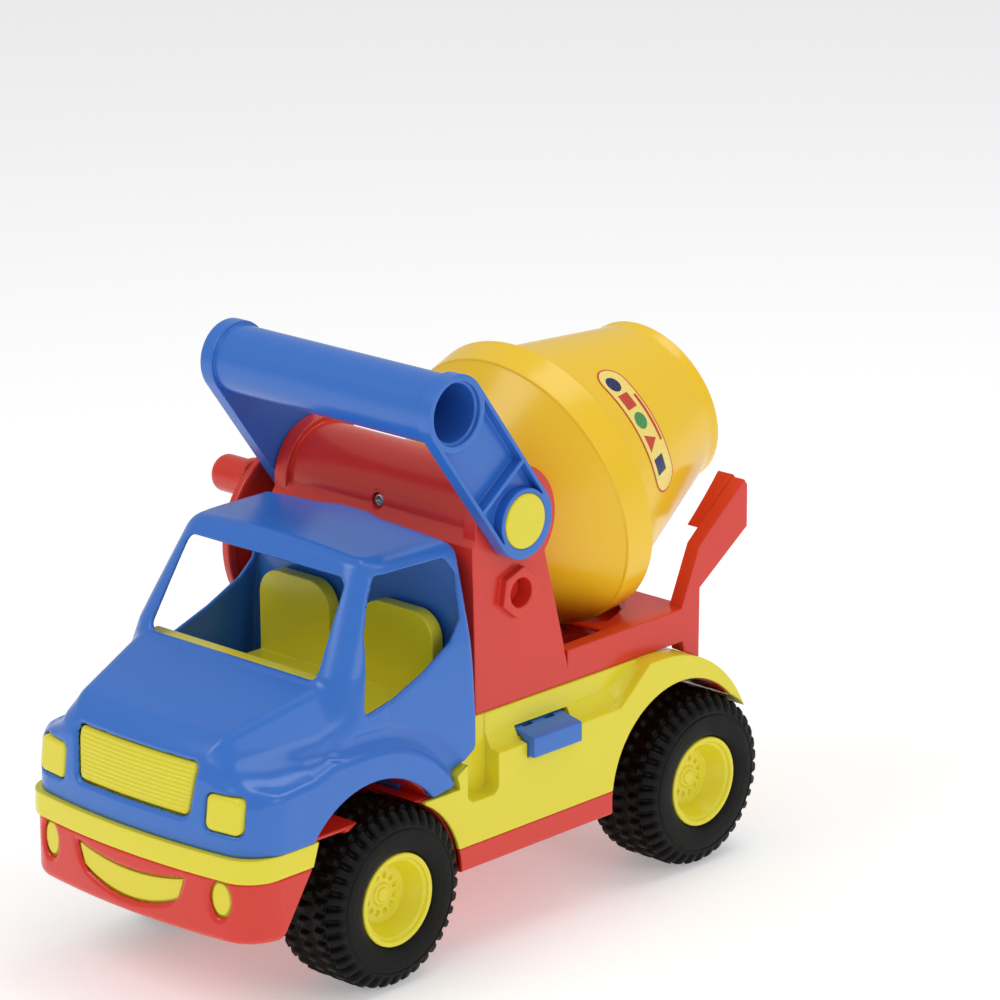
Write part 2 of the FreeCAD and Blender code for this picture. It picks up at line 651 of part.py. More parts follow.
def mixer_frame():
    hw = tower_half_width
    hy, hz = hump_y, hump_z
    outer = fuse(prism_x(tower_outline(0), -hw, hw), cyl_x(hump_radius, -hw, hw, hy, hz))
    ears = [cyl_x(ear_radius, hw - rail_width, hw, hy, hz),
            cyl_x(ear_radius, -hw, -hw + rail_width, hy, hz)]
    inner_w = hw - 3.0
    inner = fuse(prism_x(tower_outline(wall), -inner_w, inner_w),
                 cyl_x(hump_radius - wall, -inner_w + 6, inner_w - 6, hy, hz))
    below = [(y, deck_z - 5 if z == deck_z else z) for y, z in tower_outline(wall)]
    inner = fuse(inner, prism_x(below, -inner_w, inner_w))
    tower = cut(fuse(outer, *ears), inner)

    floor_start = bulkhead_point(bulkhead_s + bulkhead_thickness + gap, deck_z - crank_z - 10)[0]
    floor = box(-hw, hw, floor_start, post_y + 10, deck_z, deck_z + 3)
    shelf = cut(box(-hw, hw, post_y - 48, post_y + 12, deck_z, rail_z - 1.0),
                box(-hw + 3, hw - 3, post_y - 60, post_y + 9, deck_z - 1, rail_z - 3.5))
    rails = [rear_post(), mirror(rear_post())]
    wall_points = [(post_y + 25, 172), (post_y + 28, 170.5), (post_y + 52, 192), (post_y + 49.5, 196)]
    cross = prism_x(wall_points, -hw + rail_width - 1, hw - rail_width + 1)
    rise = prism_x([(post_y + 44, 188), (post_y + 47, 186.5), (post_y + 52, 192),
                    (post_y + 43, 207), (post_y + 40.5, 205.5), (post_y + 48.5, 194)], -34, 34)
    frame = fuse(tower, floor, shelf, *rails, cross, rise)
    frame = cut(frame, drum_clearance(3.0))

    cy, cz = fender_centre
    under = cyl_x(fender_radius + gap, -far_x, far_x, cy, cz)
    under = under.common(box(-far_x, far_x, cy, cy + far_x, 0, 200))
    under = fuse(under, box(-far_x, far_x, cab_back_y, cy, 0, deck_z))
    frame = cut(frame, under)

    hexagon = Part.makePolygon([V(hw - 1, crank_y + 13.5 * math.cos(math.radians(60 * k + 20)),
                                  crank_z + 13.5 * math.sin(math.radians(60 * k + 20)))
                                for k in range(7)])
    hexagon = Part.Face(hexagon).extrude(V(5.0, 0, 0))
    sleeve = cyl_x(shaft_radius + 3.5, hw - 16, hw - 2, crank_y, crank_z)
    frame = fuse(frame, hexagon, sleeve, mirror(sleeve))
    bore = cyl_x(shaft_radius + running, -far_x, far_x, crank_y, crank_z)
    pin_hole = cyl_x(cap_radius - 3.0, -far_x, far_x, handle_y, handle_pivot_z)
    front = hy - hump_radius
    screw_seat = cyl_y(4.0, front - 4, front + 3.4, 0, hz + 2)
    screw_bore = cyl_y(1.7, front - 4, front + 12, 0, hz + 2)
    screw_boss = cyl_y(5.5, front + 1, front + 7, 0, hz + 2)
    frame = cut(fuse(frame, screw_boss), bore, pin_hole, screw_seat, screw_bore)
    for x, y in frame_screw_places:
        frame = cut(frame, cyl_z(1.7, deck_z - 1, deck_z + 4, x, y),
                    cyl_z(1.7, deck_z - 1, deck_z + 4, -x, y))
    return frame


frame_screw_places = [(52.0, rail_start_y + 12), (24.0, post_y - 52)]


def bulkhead():
    """Inclined plate that closes the tower behind and carries the drum's bearing."""
    low = (deck_z + gap - crank_z - bulkhead_s * drum_axis.z) / drum_up.z
    half = tower_half_width - 3.0 - gap / 2
    plate = Part.makeBox(2 * half, 22 - low, bulkhead_thickness, V(-half, low, bulkhead_s))
    sleeve = Part.makeCylinder(bearing_radius + 3.0, 8.0, V(0, 0, bulkhead_s - 3.5), UP)
    bore = Part.makeCylinder(bearing_radius + running, 20, V(0, 0, bulkhead_s - 6), UP)
    body = on_drum(cut(fuse(plate, sleeve), bore))
    hump = cyl_x(hump_radius + 0.2, -far_x, far_x, hump_y, hump_z)
    side_x = tower_half_width - rail_width - gap
    ear = cyl_x(ear_radius + gap, side_x, far_x, hump_y, hump_z)
    rail = box(side_x, far_x, rail_start_y - gap, post_y, deck_z, rail_z + 1 + gap)
    return cut(body, hump, ear, mirror(ear), rail, mirror(rail),
               box(-far_x, far_x, cab_back_y, post_y, 0, deck_z + gap))


# ---------------------------------------------------------------- fasteners
def screw(head_radius, head_height, shank_radius, length):
    """Cross-head screw, head top at the origin and shank along -Z."""
    head = Part.makeCylinder(head_radius, head_height, V(0, 0, -head_height), UP)
    head = head.makeFillet(head_height * 0.45, [head.Edges[0]])
    shank = Part.makeCylinder(shank_radius, length, V(0, 0, -head_height - length), UP)
    slot = head_radius * 0.62
    cross = [Part.makeBox(2 * slot, 0.7, 1.0, V(-slot, -0.35, -0.8)),
             Part.makeBox(0.7, 2 * slot, 1.0, V(-0.35, -slot, -0.8))]
    return cut(fuse(head, shank), *cross)


def base_screws():
    one = screw(3.3, 2.4, 1.5, 12.0)
    one.rotate(V(0, 0, 0), V(1, 0, 0), 180)
    screws = []
    for x, y in screw_posts:
        for side in (x, -x):
            screws.append(one.translated(V(side, y, screw_head_z - 2.4)))
    return Part.makeCompound(screws)


def frame_screws():
    one = screw(3.3, 2.2, 1.5, 2.9)
    screws = []
    for x, y in frame_screw_places:
        for side in (x, -x):
            screws.append(one.translated(V(side, y, deck_z + 5.2)))
    return Part.makeCompound(screws)


def tower_screw():
    one = screw(3.3, 2.2, 1.5, 9.0)
    one.rotate(V(0, 0, 0), V(1, 0, 0), 90)
    return one.translated(V(0, hump_y - hump_radius + 1.2, hump_z + 2.0))


# ---------------------------------------------------------------- side fittings
def tool_ledge():
    """Blue step that clips into the left side of the chassis."""
    y0, y1 = ledge_y0 + gap, ledge_y1 - 3.0
    x = ledge_inner_x
    lip = [(77.0, 92.3), (86.0, 92.3), (86.0, 102.6), (x + 5, 105.6), (x, 106.0), (x, 102.0),
           (x + 5, 102.0), (x + 9, 101.8), (77.0, 101.5)]
    body = prism_y(lip, y0, y1)
    slots = [box(x + 3, x + 7, y0 + 5, y0 + 12, 100, 110), box(x + 3, x + 7, y1 - 14, y1 - 7, 100, 110)]
    return cut(body, *slots)


def side_cup():
    """Round cup with a flat back in the right side of the chassis."""
    x, y = -cup_centre[0], cup_centre[1]
    post = fuse(cyl_z(cup_radius, cup_floor_z, cup_top_z, x, y),
                box(x, x + 12.5, y - cup_radius, y + cup_radius, cup_floor_z, cup_top_z))
    return cut(post, cyl_z(cup_bore, cup_floor_z + 2.0, cup_top_z + 5, x, y))


# ---------------------------------------------------------------- handle
def handle_place(distance, across):
    """(y, z) at a distance from the pivot towards the tube and across that line."""
    a = math.radians(handle_angle)
    return (handle_y + distance * math.cos(a) - across * math.sin(a),
            handle_pivot_z + distance * math.sin(a) + across * math.cos(a))


def slab(distance0, distance1, across0, across1, x0, x1):
    corners = [handle_place(distance0, across0), handle_place(distance1, across0),
               handle_place(distance1, across1), handle_place(distance0, across1)]
    return prism_x(corners, x0, x1)


def handle_arm():
    x0 = tower_half_width + 0.5
    x1 = x0 + arm_thickness
    ty, tz = handle_place(handle_reach, 0)
    r = arm_radius
    arm = fuse(slab(0, handle_reach, -r, r, x0, x1), cyl_x(r, x0, x1, handle_y, handle_pivot_z),
               cyl_x(r, x0, x1, ty, tz))
    lip = 2.2
    big = slab(cap_radius + 13.0, handle_reach - 8, -r + lip, r - lip, x0 + 2.4, x1 + 1)
    big = cut(big, cyl_x(r, x0, x1 + 1, ty, tz))
    small = slab(2.0, cap_radius + 10.5, -r + lip, r - lip, x0 + 2.4, x1 + 1)
    small = cut(small, cyl_x(cap_radius + 2.6, x0, x1 + 1, handle_y, handle_pivot_z))
    return cut(arm, big, small, cyl_x(cap_radius + running, x0 - 1, x1 + 1, handle_y, handle_pivot_z))


def carry_handle():
    ty, tz = handle_place(handle_reach, 0)
    end = tower_half_width + 0.5 + arm_thickness
    tube = cyl_x(tube_radius, -tower_half_width - 1, tower_half_width + 1, ty, tz)
    body = fuse(tube, handle_arm(), mirror(handle_arm()))
    bore = cyl_x(tube_bore, -far_x, far_x, ty, tz)
    mouth = cyl_x(tube_bore + 1.3, end - 2.5, far_x, ty, tz)
    return cut(body, bore, mouth, mirror(mouth))


def handle_pin(side):
    """Yellow pivot with a domed cap; it plugs into the tower's ear."""
    end = tower_half_width + 0.5 + arm_thickness
    head = cyl_x(cap_radius, tower_half_width, end + 0.6, handle_y, handle_pivot_z)
    head = round_edges(head, 1.2, lambda e: abs(e.BoundBox.XMin - end - 0.6) < 0.01)
    stem = cyl_x(cap_radius - 3.0, tower_half_width - rail_width, tower_half_width + 1, handle_y,
                 handle_pivot_z)
    pin = fuse(head, stem)
    return pin if side > 0 else mirror(pin)


# ---------------------------------------------------------------- drum
def cone_radius(s):
    """Outer radius of the rear cone at s along the axis."""
    share = (s - band_rear_s) / (drum_mouth_s - band_rear_s)
    start = drum_band_radius - drum_step
    return start + (drum_mouth_radius - start) * share


def drum_front():
    w = drum_wall
    f, b = drum_front_radius, drum_band_radius - drum_band_taper
    plug = drum_band_radius - drum_step + 1.0
    profile = [(0, drum_front_s), (f - 6, drum_front_s), (f, drum_front_s + 5), (b - 1.2, band_front_s),
               (b, band_front_s + 0.6), (drum_band_radius, band_rear_s - 1.0),
               (drum_band_radius - 1.0, band_rear_s), (plug, band_rear_s), (plug, band_front_s + 4),
               (b - 1.2 - w * 1.3, band_front_s + 0.4), (f - w, drum_front_s + 5 + w * 0.7),
               (f - 7, drum_front_s + w), (10.0, drum_front_s + w), (10.0, drum_front_s + 14),
               (0, drum_front_s + 14)]
    shell = turned(profile)
    seat = Part.makeCylinder(bearing_radius - 2.5, 5.0, V(0, 0, drum_front_s - 1), UP)
    hole = Part.makeCylinder(1.5, 20.0, V(0, 0, drum_front_s - 1), UP)
    return on_drum(cut(shell, seat, hole))


def drum_rear():
    w = drum_wall
    plug = drum_band_radius - drum_step + 1.0
    start = cone_radius(band_rear_s)
    end = drum_mouth_radius
    profile = [(plug, band_rear_s - 11), (plug, band_rear_s - 0.01), (start, band_rear_s),
               (end, drum_mouth_s - 3.5), (end + mouth_lip, drum_mouth_s - 3.2),
               (end + mouth_lip, drum_mouth_s), (end - w, drum_mouth_s), (start - w, band_rear_s),
               (plug - w, band_rear_s - 11)]
    return on_drum(turned(profile))


# ---------------------------------------------------------------- crank and gears
def crank_disc():
    back = crank_face_x - crank_thickness
    hub = tower_half_width + 1.0
    profile = [(shaft_radius, hub), (shaft_radius + 3.5, hub), (shaft_radius + 3.5, back + 2.2),
               (crank_radius - 4.5, back + 2.2), (crank_radius - 4.5, back), (crank_radius - 0.8, back),
               (crank_radius, back + 0.8), (crank_radius, crank_face_x - 1.8),
               (crank_radius - 0.6, crank_face_x - 0.6), (crank_radius - 1.8, crank_face_x),
               (label_radius + 0.8, crank_face_x), (label_radius + 0.3, crank_face_x - 0.8),
               (cap_radius + 0.2, crank_face_x - 0.8), (cap_radius + 0.2, crank_face_x - 3.0),
               (shaft_radius, crank_face_x - 3.0)]
    disc = turned(profile)
    fairing = Part.makeCylinder(knob_radius + 1.6, 4.5, V(0, 0, crank_face_x - 2.0), UP)
    shoulder = Part.makeCylinder(knob_radius - 1.4, 4.0, V(0, 0, crank_face_x - 3.0), UP)
    shoulder.translate(V(-8.0, 0, 0))
    boss = fuse(fairing, shoulder)
    socket = Part.makeCylinder(4.0, 4.5, V(0, 0, crank_face_x - 1.0), UP)
    offset = V(knob_offset, 0, 0)
    body = cut(fuse(disc, boss.translated(offset)), socket.translated(offset))
    body.rotate(V(0, 0, 0), UP, knob_turn)
    return body


label_radius = 36.5


def crank_knob():
    top = crank_face_x + 2.5
    tip = crank_face_x + knob_length
    knob = Part.makeCylinder(knob_radius, tip - top, V(0, 0, top), UP)
    knob = knob.makeFillet(4.5, [max(knob.Edges, key=lambda e: e.BoundBox.ZMin)])
    pin = Part.makeCylinder(4.0, 3.5, V(0, 0, crank_face_x - 1.0), UP)
    body = fuse(knob, pin).translated(V(knob_offset, 0, 0))
    body.rotate(V(0, 0, 0), UP, knob_turn)
    return body


def crank_label():
    ring = cut(Part.makeCylinder(label_radius, 0.5, V(0, 0, crank_face_x - 0.8), UP),
               Part.makeCylinder(cap_radius + 1.5, 3, V(0, 0, crank_face_x - 2), UP))
    hole = Part.makeCylinder(knob_radius + 2.0, 3, V(knob_offset, 0, crank_face_x - 2), UP)
    shoulder = Part.makeCylinder(knob_radius - 1.0, 3, V(knob_offset - 8.0, 0, crank_face_x - 2), UP)
    for tool in (hole, shoulder):
        tool.rotate(V(0, 0, 0), UP, knob_turn)
        ring = cut(ring, tool)
    return ring


def crank_cap():
    cap = Part.makeCylinder(cap_radius, 5.5, V(0, 0, crank_face_x - 3.0), UP)
    return cap.makeFillet(2.6, [max(cap.Edges, key=lambda e: e.BoundBox.ZMin)])


def crank_shaft():
    return Part.makeCylinder(shaft_radius, crank_face_x - 3.0 + tower_half_width - 4.5,
                             V(0, 0, -(tower_half_width - 4.5)), UP)


def bevel_gear(bore, hub_radius, hub_length, phase):
    """Mitre gear about Z with its apex at the origin and its back at the pitch radius."""
    p, face, n = gear_pitch_radius, gear_face, gear_teeth
    module = 2 * p / n
    depth = 1.05 * module
    height = 0.78 * module
    back = math.sqrt(2) * p

    def cone_point(distance, offset):
        """Radius and height on the cone at a distance from the apex, offset outwards."""
        k = distance / math.sqrt(2)
        return k + offset / math.sqrt(2), k - offset / math.sqrt(2)

    inner = back - face
    scale = inner / back
    root_out, root_in = cone_point(back, -depth), cone_point(inner, -depth * scale)
    profile = [(bore, root_out[1] + 3.0), (bore, root_in[1]), root_in, root_out,
               (root_out[0] - 1.5, root_out[1] + 3.0)]
    blank = turned(profile)
    teeth = []
    for k in range(n):
        rings = []
        for distance, share in ((inner, scale), (back, 1.0)):
            low = cone_point(distance, -(depth + 0.6) * share)
            high = cone_point(distance, height * share)
            wide, thin = 0.255 * math.pi * module * share, 0.12 * math.pi * module * share
            corners = [V(low[0], -wide, low[1]), V(high[0], -thin, high[1]),
                       V(high[0], thin, high[1]), V(low[0], wide, low[1])]
            rings.append(Part.makePolygon(corners + corners[:1]))
        tooth = Part.makeLoft(rings, True, True)
        tooth.rotate(V(0, 0, 0), UP, 360.0 * (k + phase) / n)
        teeth.append(tooth)
    gear = fuse(blank, *teeth)
    if hub_length > 0:
        start = root_out[1] + 2.9
        hub = cut(Part.makeCylinder(hub_radius, hub_length, V(0, 0, start), UP),
                  Part.makeCylinder(bore, hub_length + 2, V(0, 0, start - 1), UP))
        gear = fuse(gear, hub)
    return gear


def drum_gear():
    """Bevel gear on a hollow stem that turns in the bulkhead and plugs into the drum."""
    gear = bevel_gear(1.5, bearing_radius, 0, 0.5)
    stem = Part.makeCylinder(bearing_radius, drum_front_s - 18.0, V(0, 0, 18.0), UP)
    plug = Part.makeCylinder(bearing_radius - 2.5, 5.0, V(0, 0, drum_front_s - 1.0), UP)
    hole = Part.makeCylinder(1.5, 60, V(0, 0, 0), UP)
    seat = Part.makeCylinder(3.6, 6.0, V(0, 0, 8.0), UP)
    return on_drum(cut(fuse(gear, stem, plug), hole, seat))


def drum_screw():
    one = screw(3.3, 2.2, 1.5, 26.0)
    one.rotate(V(0, 0, 0), V(1, 0, 0), 180)
    return on_drum(one.translated(V(0, 0, 11.8)))


def crank_pinion():
    """The mate of the drum gear, on the crank shaft."""
    mesh_phase = (90.0 - drum_tilt) * gear_teeth / 360.0
    return on_crank(bevel_gear(shaft_radius, shaft_radius + 3.0, 6.0, mesh_phase))


# ---------------------------------------------------------------- wheels
def tyre(side, y):
    x_out, x_in = tyre_face_x, tyre_face_x - tyre_width
    r, b = tyre_radius, rim_radius
    profile = [(b, x_in + 3), (b + 3, x_in), (r - 11, x_in), (r - 6, x_in + 1.2),
               (r - 1.5, x_in + 4), (r, x_in + 8), (r, x_out - 8), (r - 1.5, x_out - 4),
               (r - 6, x_out - 1.2), (r - 11, x_out), (b + 3, x_out), (b, x_out - 2.0)]
    return wheel_place(turned(profile), side, y)


def wheel_place(shape, side, y):
    """From a local frame, Z outwards, to one wheel of the lorry."""
    turn = FreeCAD.Rotation(V(0, 1, 0), 90)
    placed = shape.transformed(FreeCAD.Placement(V(0, y, axle_z), turn).toMatrix())
    return placed if side > 0 else mirror(placed)


def rim(side, y):
    x_out, x_in = tyre_face_x - 1.2, tyre_face_x - tyre_width + 2
    r = rim_radius
    hub_x = x_out - 12.0
    profile = [(axle_radius, x_in + 8), (7, x_in + 8), (7, hub_x - 4), (r - 8.5, hub_x - 4),
               (r - 6.0, x_out - 7.5), (r - 4.5, x_out - 6), (r - 4.5, x_in), (r, x_in),
               (r, x_out), (r - 2.4, x_out), (r - 3.0, x_out - 1.6), (r - 3.8, x_out - 2.2),
               (r - 4.6, x_out - 5.0), (r - 10.5, hub_x + 0.8), (r - 11.2, hub_x), (6.0, hub_x),
               (5.4, hub_x + 0.7), (4.0, hub_x + 0.7), (4.0, hub_x + 1.8), (0, hub_x + 1.8),
               (0, hub_x - 2.0), (axle_radius, hub_x - 2.0)]
    body = turned(profile)
    holes = []
    for k in range(12):
        hole = Part.makeCylinder(1.25, 8, V(9.4, 0, hub_x - 1.6), UP)
        hole.rotate(V(0, 0, 0), UP, 30.0 * k)
        holes.append(hole)
    return wheel_place(cut(body, *holes), side, y)


def axle(y):
    end = tyre_face_x - 1.2 - 12.0 - 2.0
    return cyl_x(axle_radius, -end, end, y, axle_z)


# ---------------------------------------------------------------- write the pieces
os.makedirs("parts", exist_ok=True)

save("chassis_shell", chassis_shell())
save("base_plate", base_plate())
save("bumper_insert", bumper_insert())
save("cab_shell", cab_shell())
save("grille_insert", grille_insert())
save("cab_interior", cab_interior())
save("mixer_frame", mixer_frame())
save("gearbox_bulkhead", bulkhead())
save("tower_screw", tower_screw())
save("base_screws", base_screws())
save("frame_screws", frame_screws())
save("tool_ledge", tool_ledge())
save("side_cup", side_cup())
save("carry_handle", carry_handle())
save("handle_pin_left", handle_pin(1))
save("handle_pin_right", handle_pin(-1))
save("drum_front", drum_front())
save("drum_rear", drum_rear())
save("drum_gear", drum_gear())
save("drum_screw", drum_screw())
save("crank_disc", on_crank(crank_disc()))
save("crank_knob", on_crank(crank_knob()))
save("crank_label", on_crank(crank_label()))
save("crank_cap", on_crank(crank_cap()))
save("crank_shaft", on_crank(crank_shaft()))
save("crank_pinion", crank_pinion())
for place, y in (("front", front_axle_y), ("rear", rear_axle_y)):
    save(place + "_axle", axle(y))
    for hand, side in (("left", 1), ("right", -1)):
        save(f"tyre_{place}_{hand}", tyre(side, y))
        save(f"rim_{place}_{hand}", rim(side, y))
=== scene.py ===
import json
import math

import bmesh
import bpy
import numpy as np
from bpy.props import FloatProperty, FloatVectorProperty, IntProperty, PointerProperty
from mathutils import Matrix, Vector
from mathutils.bvhtree import BVHTree

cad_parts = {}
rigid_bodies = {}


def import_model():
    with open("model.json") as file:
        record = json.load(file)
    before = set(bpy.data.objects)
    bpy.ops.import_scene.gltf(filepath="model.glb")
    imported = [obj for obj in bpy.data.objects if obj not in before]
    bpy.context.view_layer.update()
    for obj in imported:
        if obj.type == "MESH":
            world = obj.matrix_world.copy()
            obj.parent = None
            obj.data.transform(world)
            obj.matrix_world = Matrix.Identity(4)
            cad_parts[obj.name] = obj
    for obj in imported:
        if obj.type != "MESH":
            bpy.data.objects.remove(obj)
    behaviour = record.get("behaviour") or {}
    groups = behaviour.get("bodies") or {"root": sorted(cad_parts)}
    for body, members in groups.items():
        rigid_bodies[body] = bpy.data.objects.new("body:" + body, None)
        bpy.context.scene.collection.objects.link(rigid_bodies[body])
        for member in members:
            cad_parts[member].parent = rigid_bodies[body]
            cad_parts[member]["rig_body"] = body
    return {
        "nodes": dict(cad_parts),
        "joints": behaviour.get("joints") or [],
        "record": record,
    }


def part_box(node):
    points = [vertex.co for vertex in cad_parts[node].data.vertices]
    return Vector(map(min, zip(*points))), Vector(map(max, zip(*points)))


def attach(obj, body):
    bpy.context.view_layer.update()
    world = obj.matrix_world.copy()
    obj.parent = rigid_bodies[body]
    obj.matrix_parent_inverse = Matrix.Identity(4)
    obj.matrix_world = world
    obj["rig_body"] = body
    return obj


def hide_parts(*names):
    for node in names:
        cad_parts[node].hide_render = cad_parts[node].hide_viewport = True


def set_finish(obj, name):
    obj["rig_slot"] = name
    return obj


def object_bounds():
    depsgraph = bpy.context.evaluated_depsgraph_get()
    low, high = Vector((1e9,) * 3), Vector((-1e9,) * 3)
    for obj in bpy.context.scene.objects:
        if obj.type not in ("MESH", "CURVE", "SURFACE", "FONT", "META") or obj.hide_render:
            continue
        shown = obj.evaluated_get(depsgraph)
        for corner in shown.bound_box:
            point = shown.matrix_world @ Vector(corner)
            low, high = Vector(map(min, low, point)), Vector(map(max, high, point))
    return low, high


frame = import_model()
CAD_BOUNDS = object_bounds()

bl_info = {
    "name": "Toy cement mixer",
    "version": (1, 0, 0),
    "blender": (4, 5, 0),
    "location": "3D View > Sidebar > Mixer",
    "description": "Looks of the toy cement mixer: plastics, tyres, cab, drum, labels, studio",
    "category": "Add Mesh",
}

MM = 0.001

# ---------------------------------------------------------------- places taken from the frame
# Lorry frame, in millimetres: x across from the middle, +x the lorry's own left, y along with
# 0 midway between the axles and the front at -y, z up with the cab's seat plane at 88.
CAB_BACK_Y = -50.0
SEAT_Z = 88.0
CAB_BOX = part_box("cab_shell")
ORIGIN = Vector(((CAB_BOX[0].x + CAB_BOX[1].x) / 2,
                 CAB_BOX[1].y - CAB_BACK_Y * MM,
                 CAB_BOX[0].z - SEAT_Z * MM))


def to_row(points):
    """Lorry millimetres to the row frame in metres."""
    return np.asarray(points, float) * MM + np.array(ORIGIN)


def box_mm(node):
    """(low, high) of a CAD node in the lorry frame."""
    low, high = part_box(node)
    return (np.array(low - ORIGIN) / MM, np.array(high - ORIGIN) / MM)


def joint_axis(name):
    for joint in frame["joints"]:
        if joint["name"] == name:
            return Vector(joint["axis"]).normalized()
    raise RuntimeError("the frame has no joint " + name)


SHAFT_LOW, SHAFT_HIGH = box_mm("crank_shaft")
CRANK_Y = (SHAFT_LOW[1] + SHAFT_HIGH[1]) / 2
CRANK_Z = (SHAFT_LOW[2] + SHAFT_HIGH[2]) / 2
DRUM_AXIS = np.array(joint_axis("drum_spin"))
DRUM_UP = np.array([0.0, -DRUM_AXIS[2], DRUM_AXIS[1]])


# ---------------------------------------------------------------- settings
def srgb(red, green, blue):
    """Colour as it looks, 0 to 255, to the linear values that shaders use."""
    out = []
    for value in (red, green, blue):
        share = value / 255.0
        out.append(share / 12.92 if share <= 0.04045 else ((share + 0.055) / 1.055) ** 2.4)
    return tuple(out)


def colour_property(name, description, default):
    return FloatVectorProperty(name=name, description=description, subtype="COLOR", size=3,
                               min=0.0, max=1.0, default=default)


class MixerColours(bpy.types.PropertyGroup):
    blue: colour_property("Blue plastic", "Cab, handle, cup and step", srgb(30, 112, 228))
    lemon: colour_property("Lemon plastic", "Chassis, seats, grille and rims", srgb(236, 180, 0))
    drum: colour_property("Drum plastic", "Drum halves", srgb(255, 204, 0))
    red: colour_property("Red plastic", "Tower, base, bumper and crank", srgb(226, 24, 8))
    tyre: colour_property("Tyre", "Moulded tyres", srgb(13, 13, 12))
    steel: colour_property("Screw steel", "Zinc-plated screws", srgb(188, 188, 192))
    label_blue: colour_property("Label blue", "Dark ring of the crank label", srgb(22, 34, 92))
    label_cream: colour_property("Label cream", "Ground of the drum label", srgb(253, 226, 120))
    label_green: colour_property("Label green", "Green shapes of the drum label", srgb(70, 150, 84))
    label_red: colour_property("Label red", "Outline of the drum label", srgb(206, 66, 44))
    floor: colour_property("Floor", "Studio floor", (0.93, 0.93, 0.93))


class MixerSizes(bpy.types.PropertyGroup):
    lugs: IntProperty(name="Lugs", description="Lugs round each tyre", default=38, min=12)
    lug_depth: FloatProperty(name="Lug depth", description="Depth between the tyre's blocks",
                             default=2.9 * MM, unit="LENGTH", precision=4)
    cab_wall: FloatProperty(name="Cab wall", description="Thickness of the cab's moulded wall",
                            default=2.4 * MM, unit="LENGTH", precision=4)
    cab_cell: FloatProperty(name="Cab cell", description="Spacing of the cab's surface points",
                            default=1.0 * MM, unit="LENGTH", precision=4)
    edge: FloatProperty(name="Edge", description="Width of the softened moulded edges",
                        default=0.6 * MM, unit="LENGTH", precision=4)
    fine_edge: FloatProperty(name="Fine edge", description="Softened edges of small fittings",
                             default=0.2 * MM, unit="LENGTH", precision=4)


class MixerStage(bpy.types.PropertyGroup):
    azimuth: FloatProperty(name="Azimuth", description="Camera round the lorry from its front",
                           default=math.radians(44.38), unit="ROTATION")
    elevation: FloatProperty(name="Elevation", description="Camera above the floor",
                             default=math.radians(19.47), unit="ROTATION")
    roll: FloatProperty(name="Roll", description="Camera roll", default=math.radians(-0.57),
                        unit="ROTATION")
    pan: FloatProperty(name="Pan", description="Aim to the right of the target",
                       default=math.atan(0.013899), unit="ROTATION")
    tilt: FloatProperty(name="Tilt", description="Aim above the target",
                        default=math.atan(0.045381), unit="ROTATION")
    distance: FloatProperty(name="Distance", description="Camera to the target",
                            default=2.42196, unit="LENGTH")
    lens: FloatProperty(name="Lens", description="Focal length in millimetres", default=170.77)
    world: FloatProperty(name="World", description="Strength of the light all round",
                         default=0.5)


# ---------------------------------------------------------------- materials
def new_material(name):
    material = bpy.data.materials.new(name)
    material.use_nodes = True
    tree = material.node_tree
    tree.nodes.clear()
    shader = tree.nodes.new("ShaderNodeBsdfPrincipled")
    output = tree.nodes.new("ShaderNodeOutputMaterial")
    tree.links.new(shader.outputs["BSDF"], output.inputs["Surface"])
    return material, tree, shader


def add_noise(tree, scale, detail):
    place = tree.nodes.new("ShaderNodeTexCoord")
    noise = tree.nodes.new("ShaderNodeTexNoise")
    noise.inputs["Scale"].default_value = scale
    noise.inputs["Detail"].default_value = detail
    tree.links.new(place.outputs["Object"], noise.inputs["Vector"])
    return noise


def link_tint(tree, shader, noise, colour, spread):
    """Base colour that drifts a little lighter and darker over the surface."""
    mix = tree.nodes.new("ShaderNodeMix")
    mix.data_type = "RGBA"
    dark = [max(0.0, c * (1 - spread)) for c in colour]
    light = [min(1.0, c * (1 + spread)) for c in colour]
    mix.inputs[6].default_value = (*dark, 1)
    mix.inputs[7].default_value = (*light, 1)
    tree.links.new(noise.outputs["Fac"], mix.inputs[0])
    tree.links.new(mix.outputs[2], shader.inputs["Base Color"])


def link_range(tree, noise, low, high, socket):
    span = tree.nodes.new("ShaderNodeMapRange")
    span.inputs["From Min"].default_value = 0.3
    span.inputs["From Max"].default_value = 0.7
    span.inputs["To Min"].default_value = low
    span.inputs["To Max"].default_value = high
    tree.links.new(noise.outputs["Fac"], span.inputs["Value"])
    tree.links.new(span.outputs["Result"], socket)


def link_bump(tree, shader, noise, strength, distance):
    bump = tree.nodes.new("ShaderNodeBump")
    bump.inputs["Strength"].default_value = strength
    bump.inputs["Distance"].default_value = distance
    tree.links.new(noise.outputs["Fac"], bump.inputs["Height"])
    tree.links.new(bump.outputs["Normal"], shader.inputs["Normal"])


def moulded_plastic(name, colour, gloss=0.3, spread=0.05, soft=0.0):
    """Semi-gloss moulded plastic with faint flow marks and a fine moulded skin."""
    material, tree, shader = new_material(name)
    flow = add_noise(tree, 14.0, 3.0)
    skin = add_noise(tree, 700.0, 2.0)
    link_tint(tree, shader, flow, colour, spread)
    link_range(tree, flow, gloss - 0.05, gloss + 0.06, shader.inputs["Roughness"])
    link_bump(tree, shader, skin, 0.08, 0.00012)
    shader.inputs["IOR"].default_value = 1.5
    shader.inputs["Specular IOR Level"].default_value = 0.15
    if soft > 0:
        shader.inputs["Subsurface Weight"].default_value = soft
        shader.inputs["Subsurface Radius"].default_value = (0.004, 0.003, 0.001)
        shader.inputs["Subsurface Scale"].default_value = 0.6
    return material


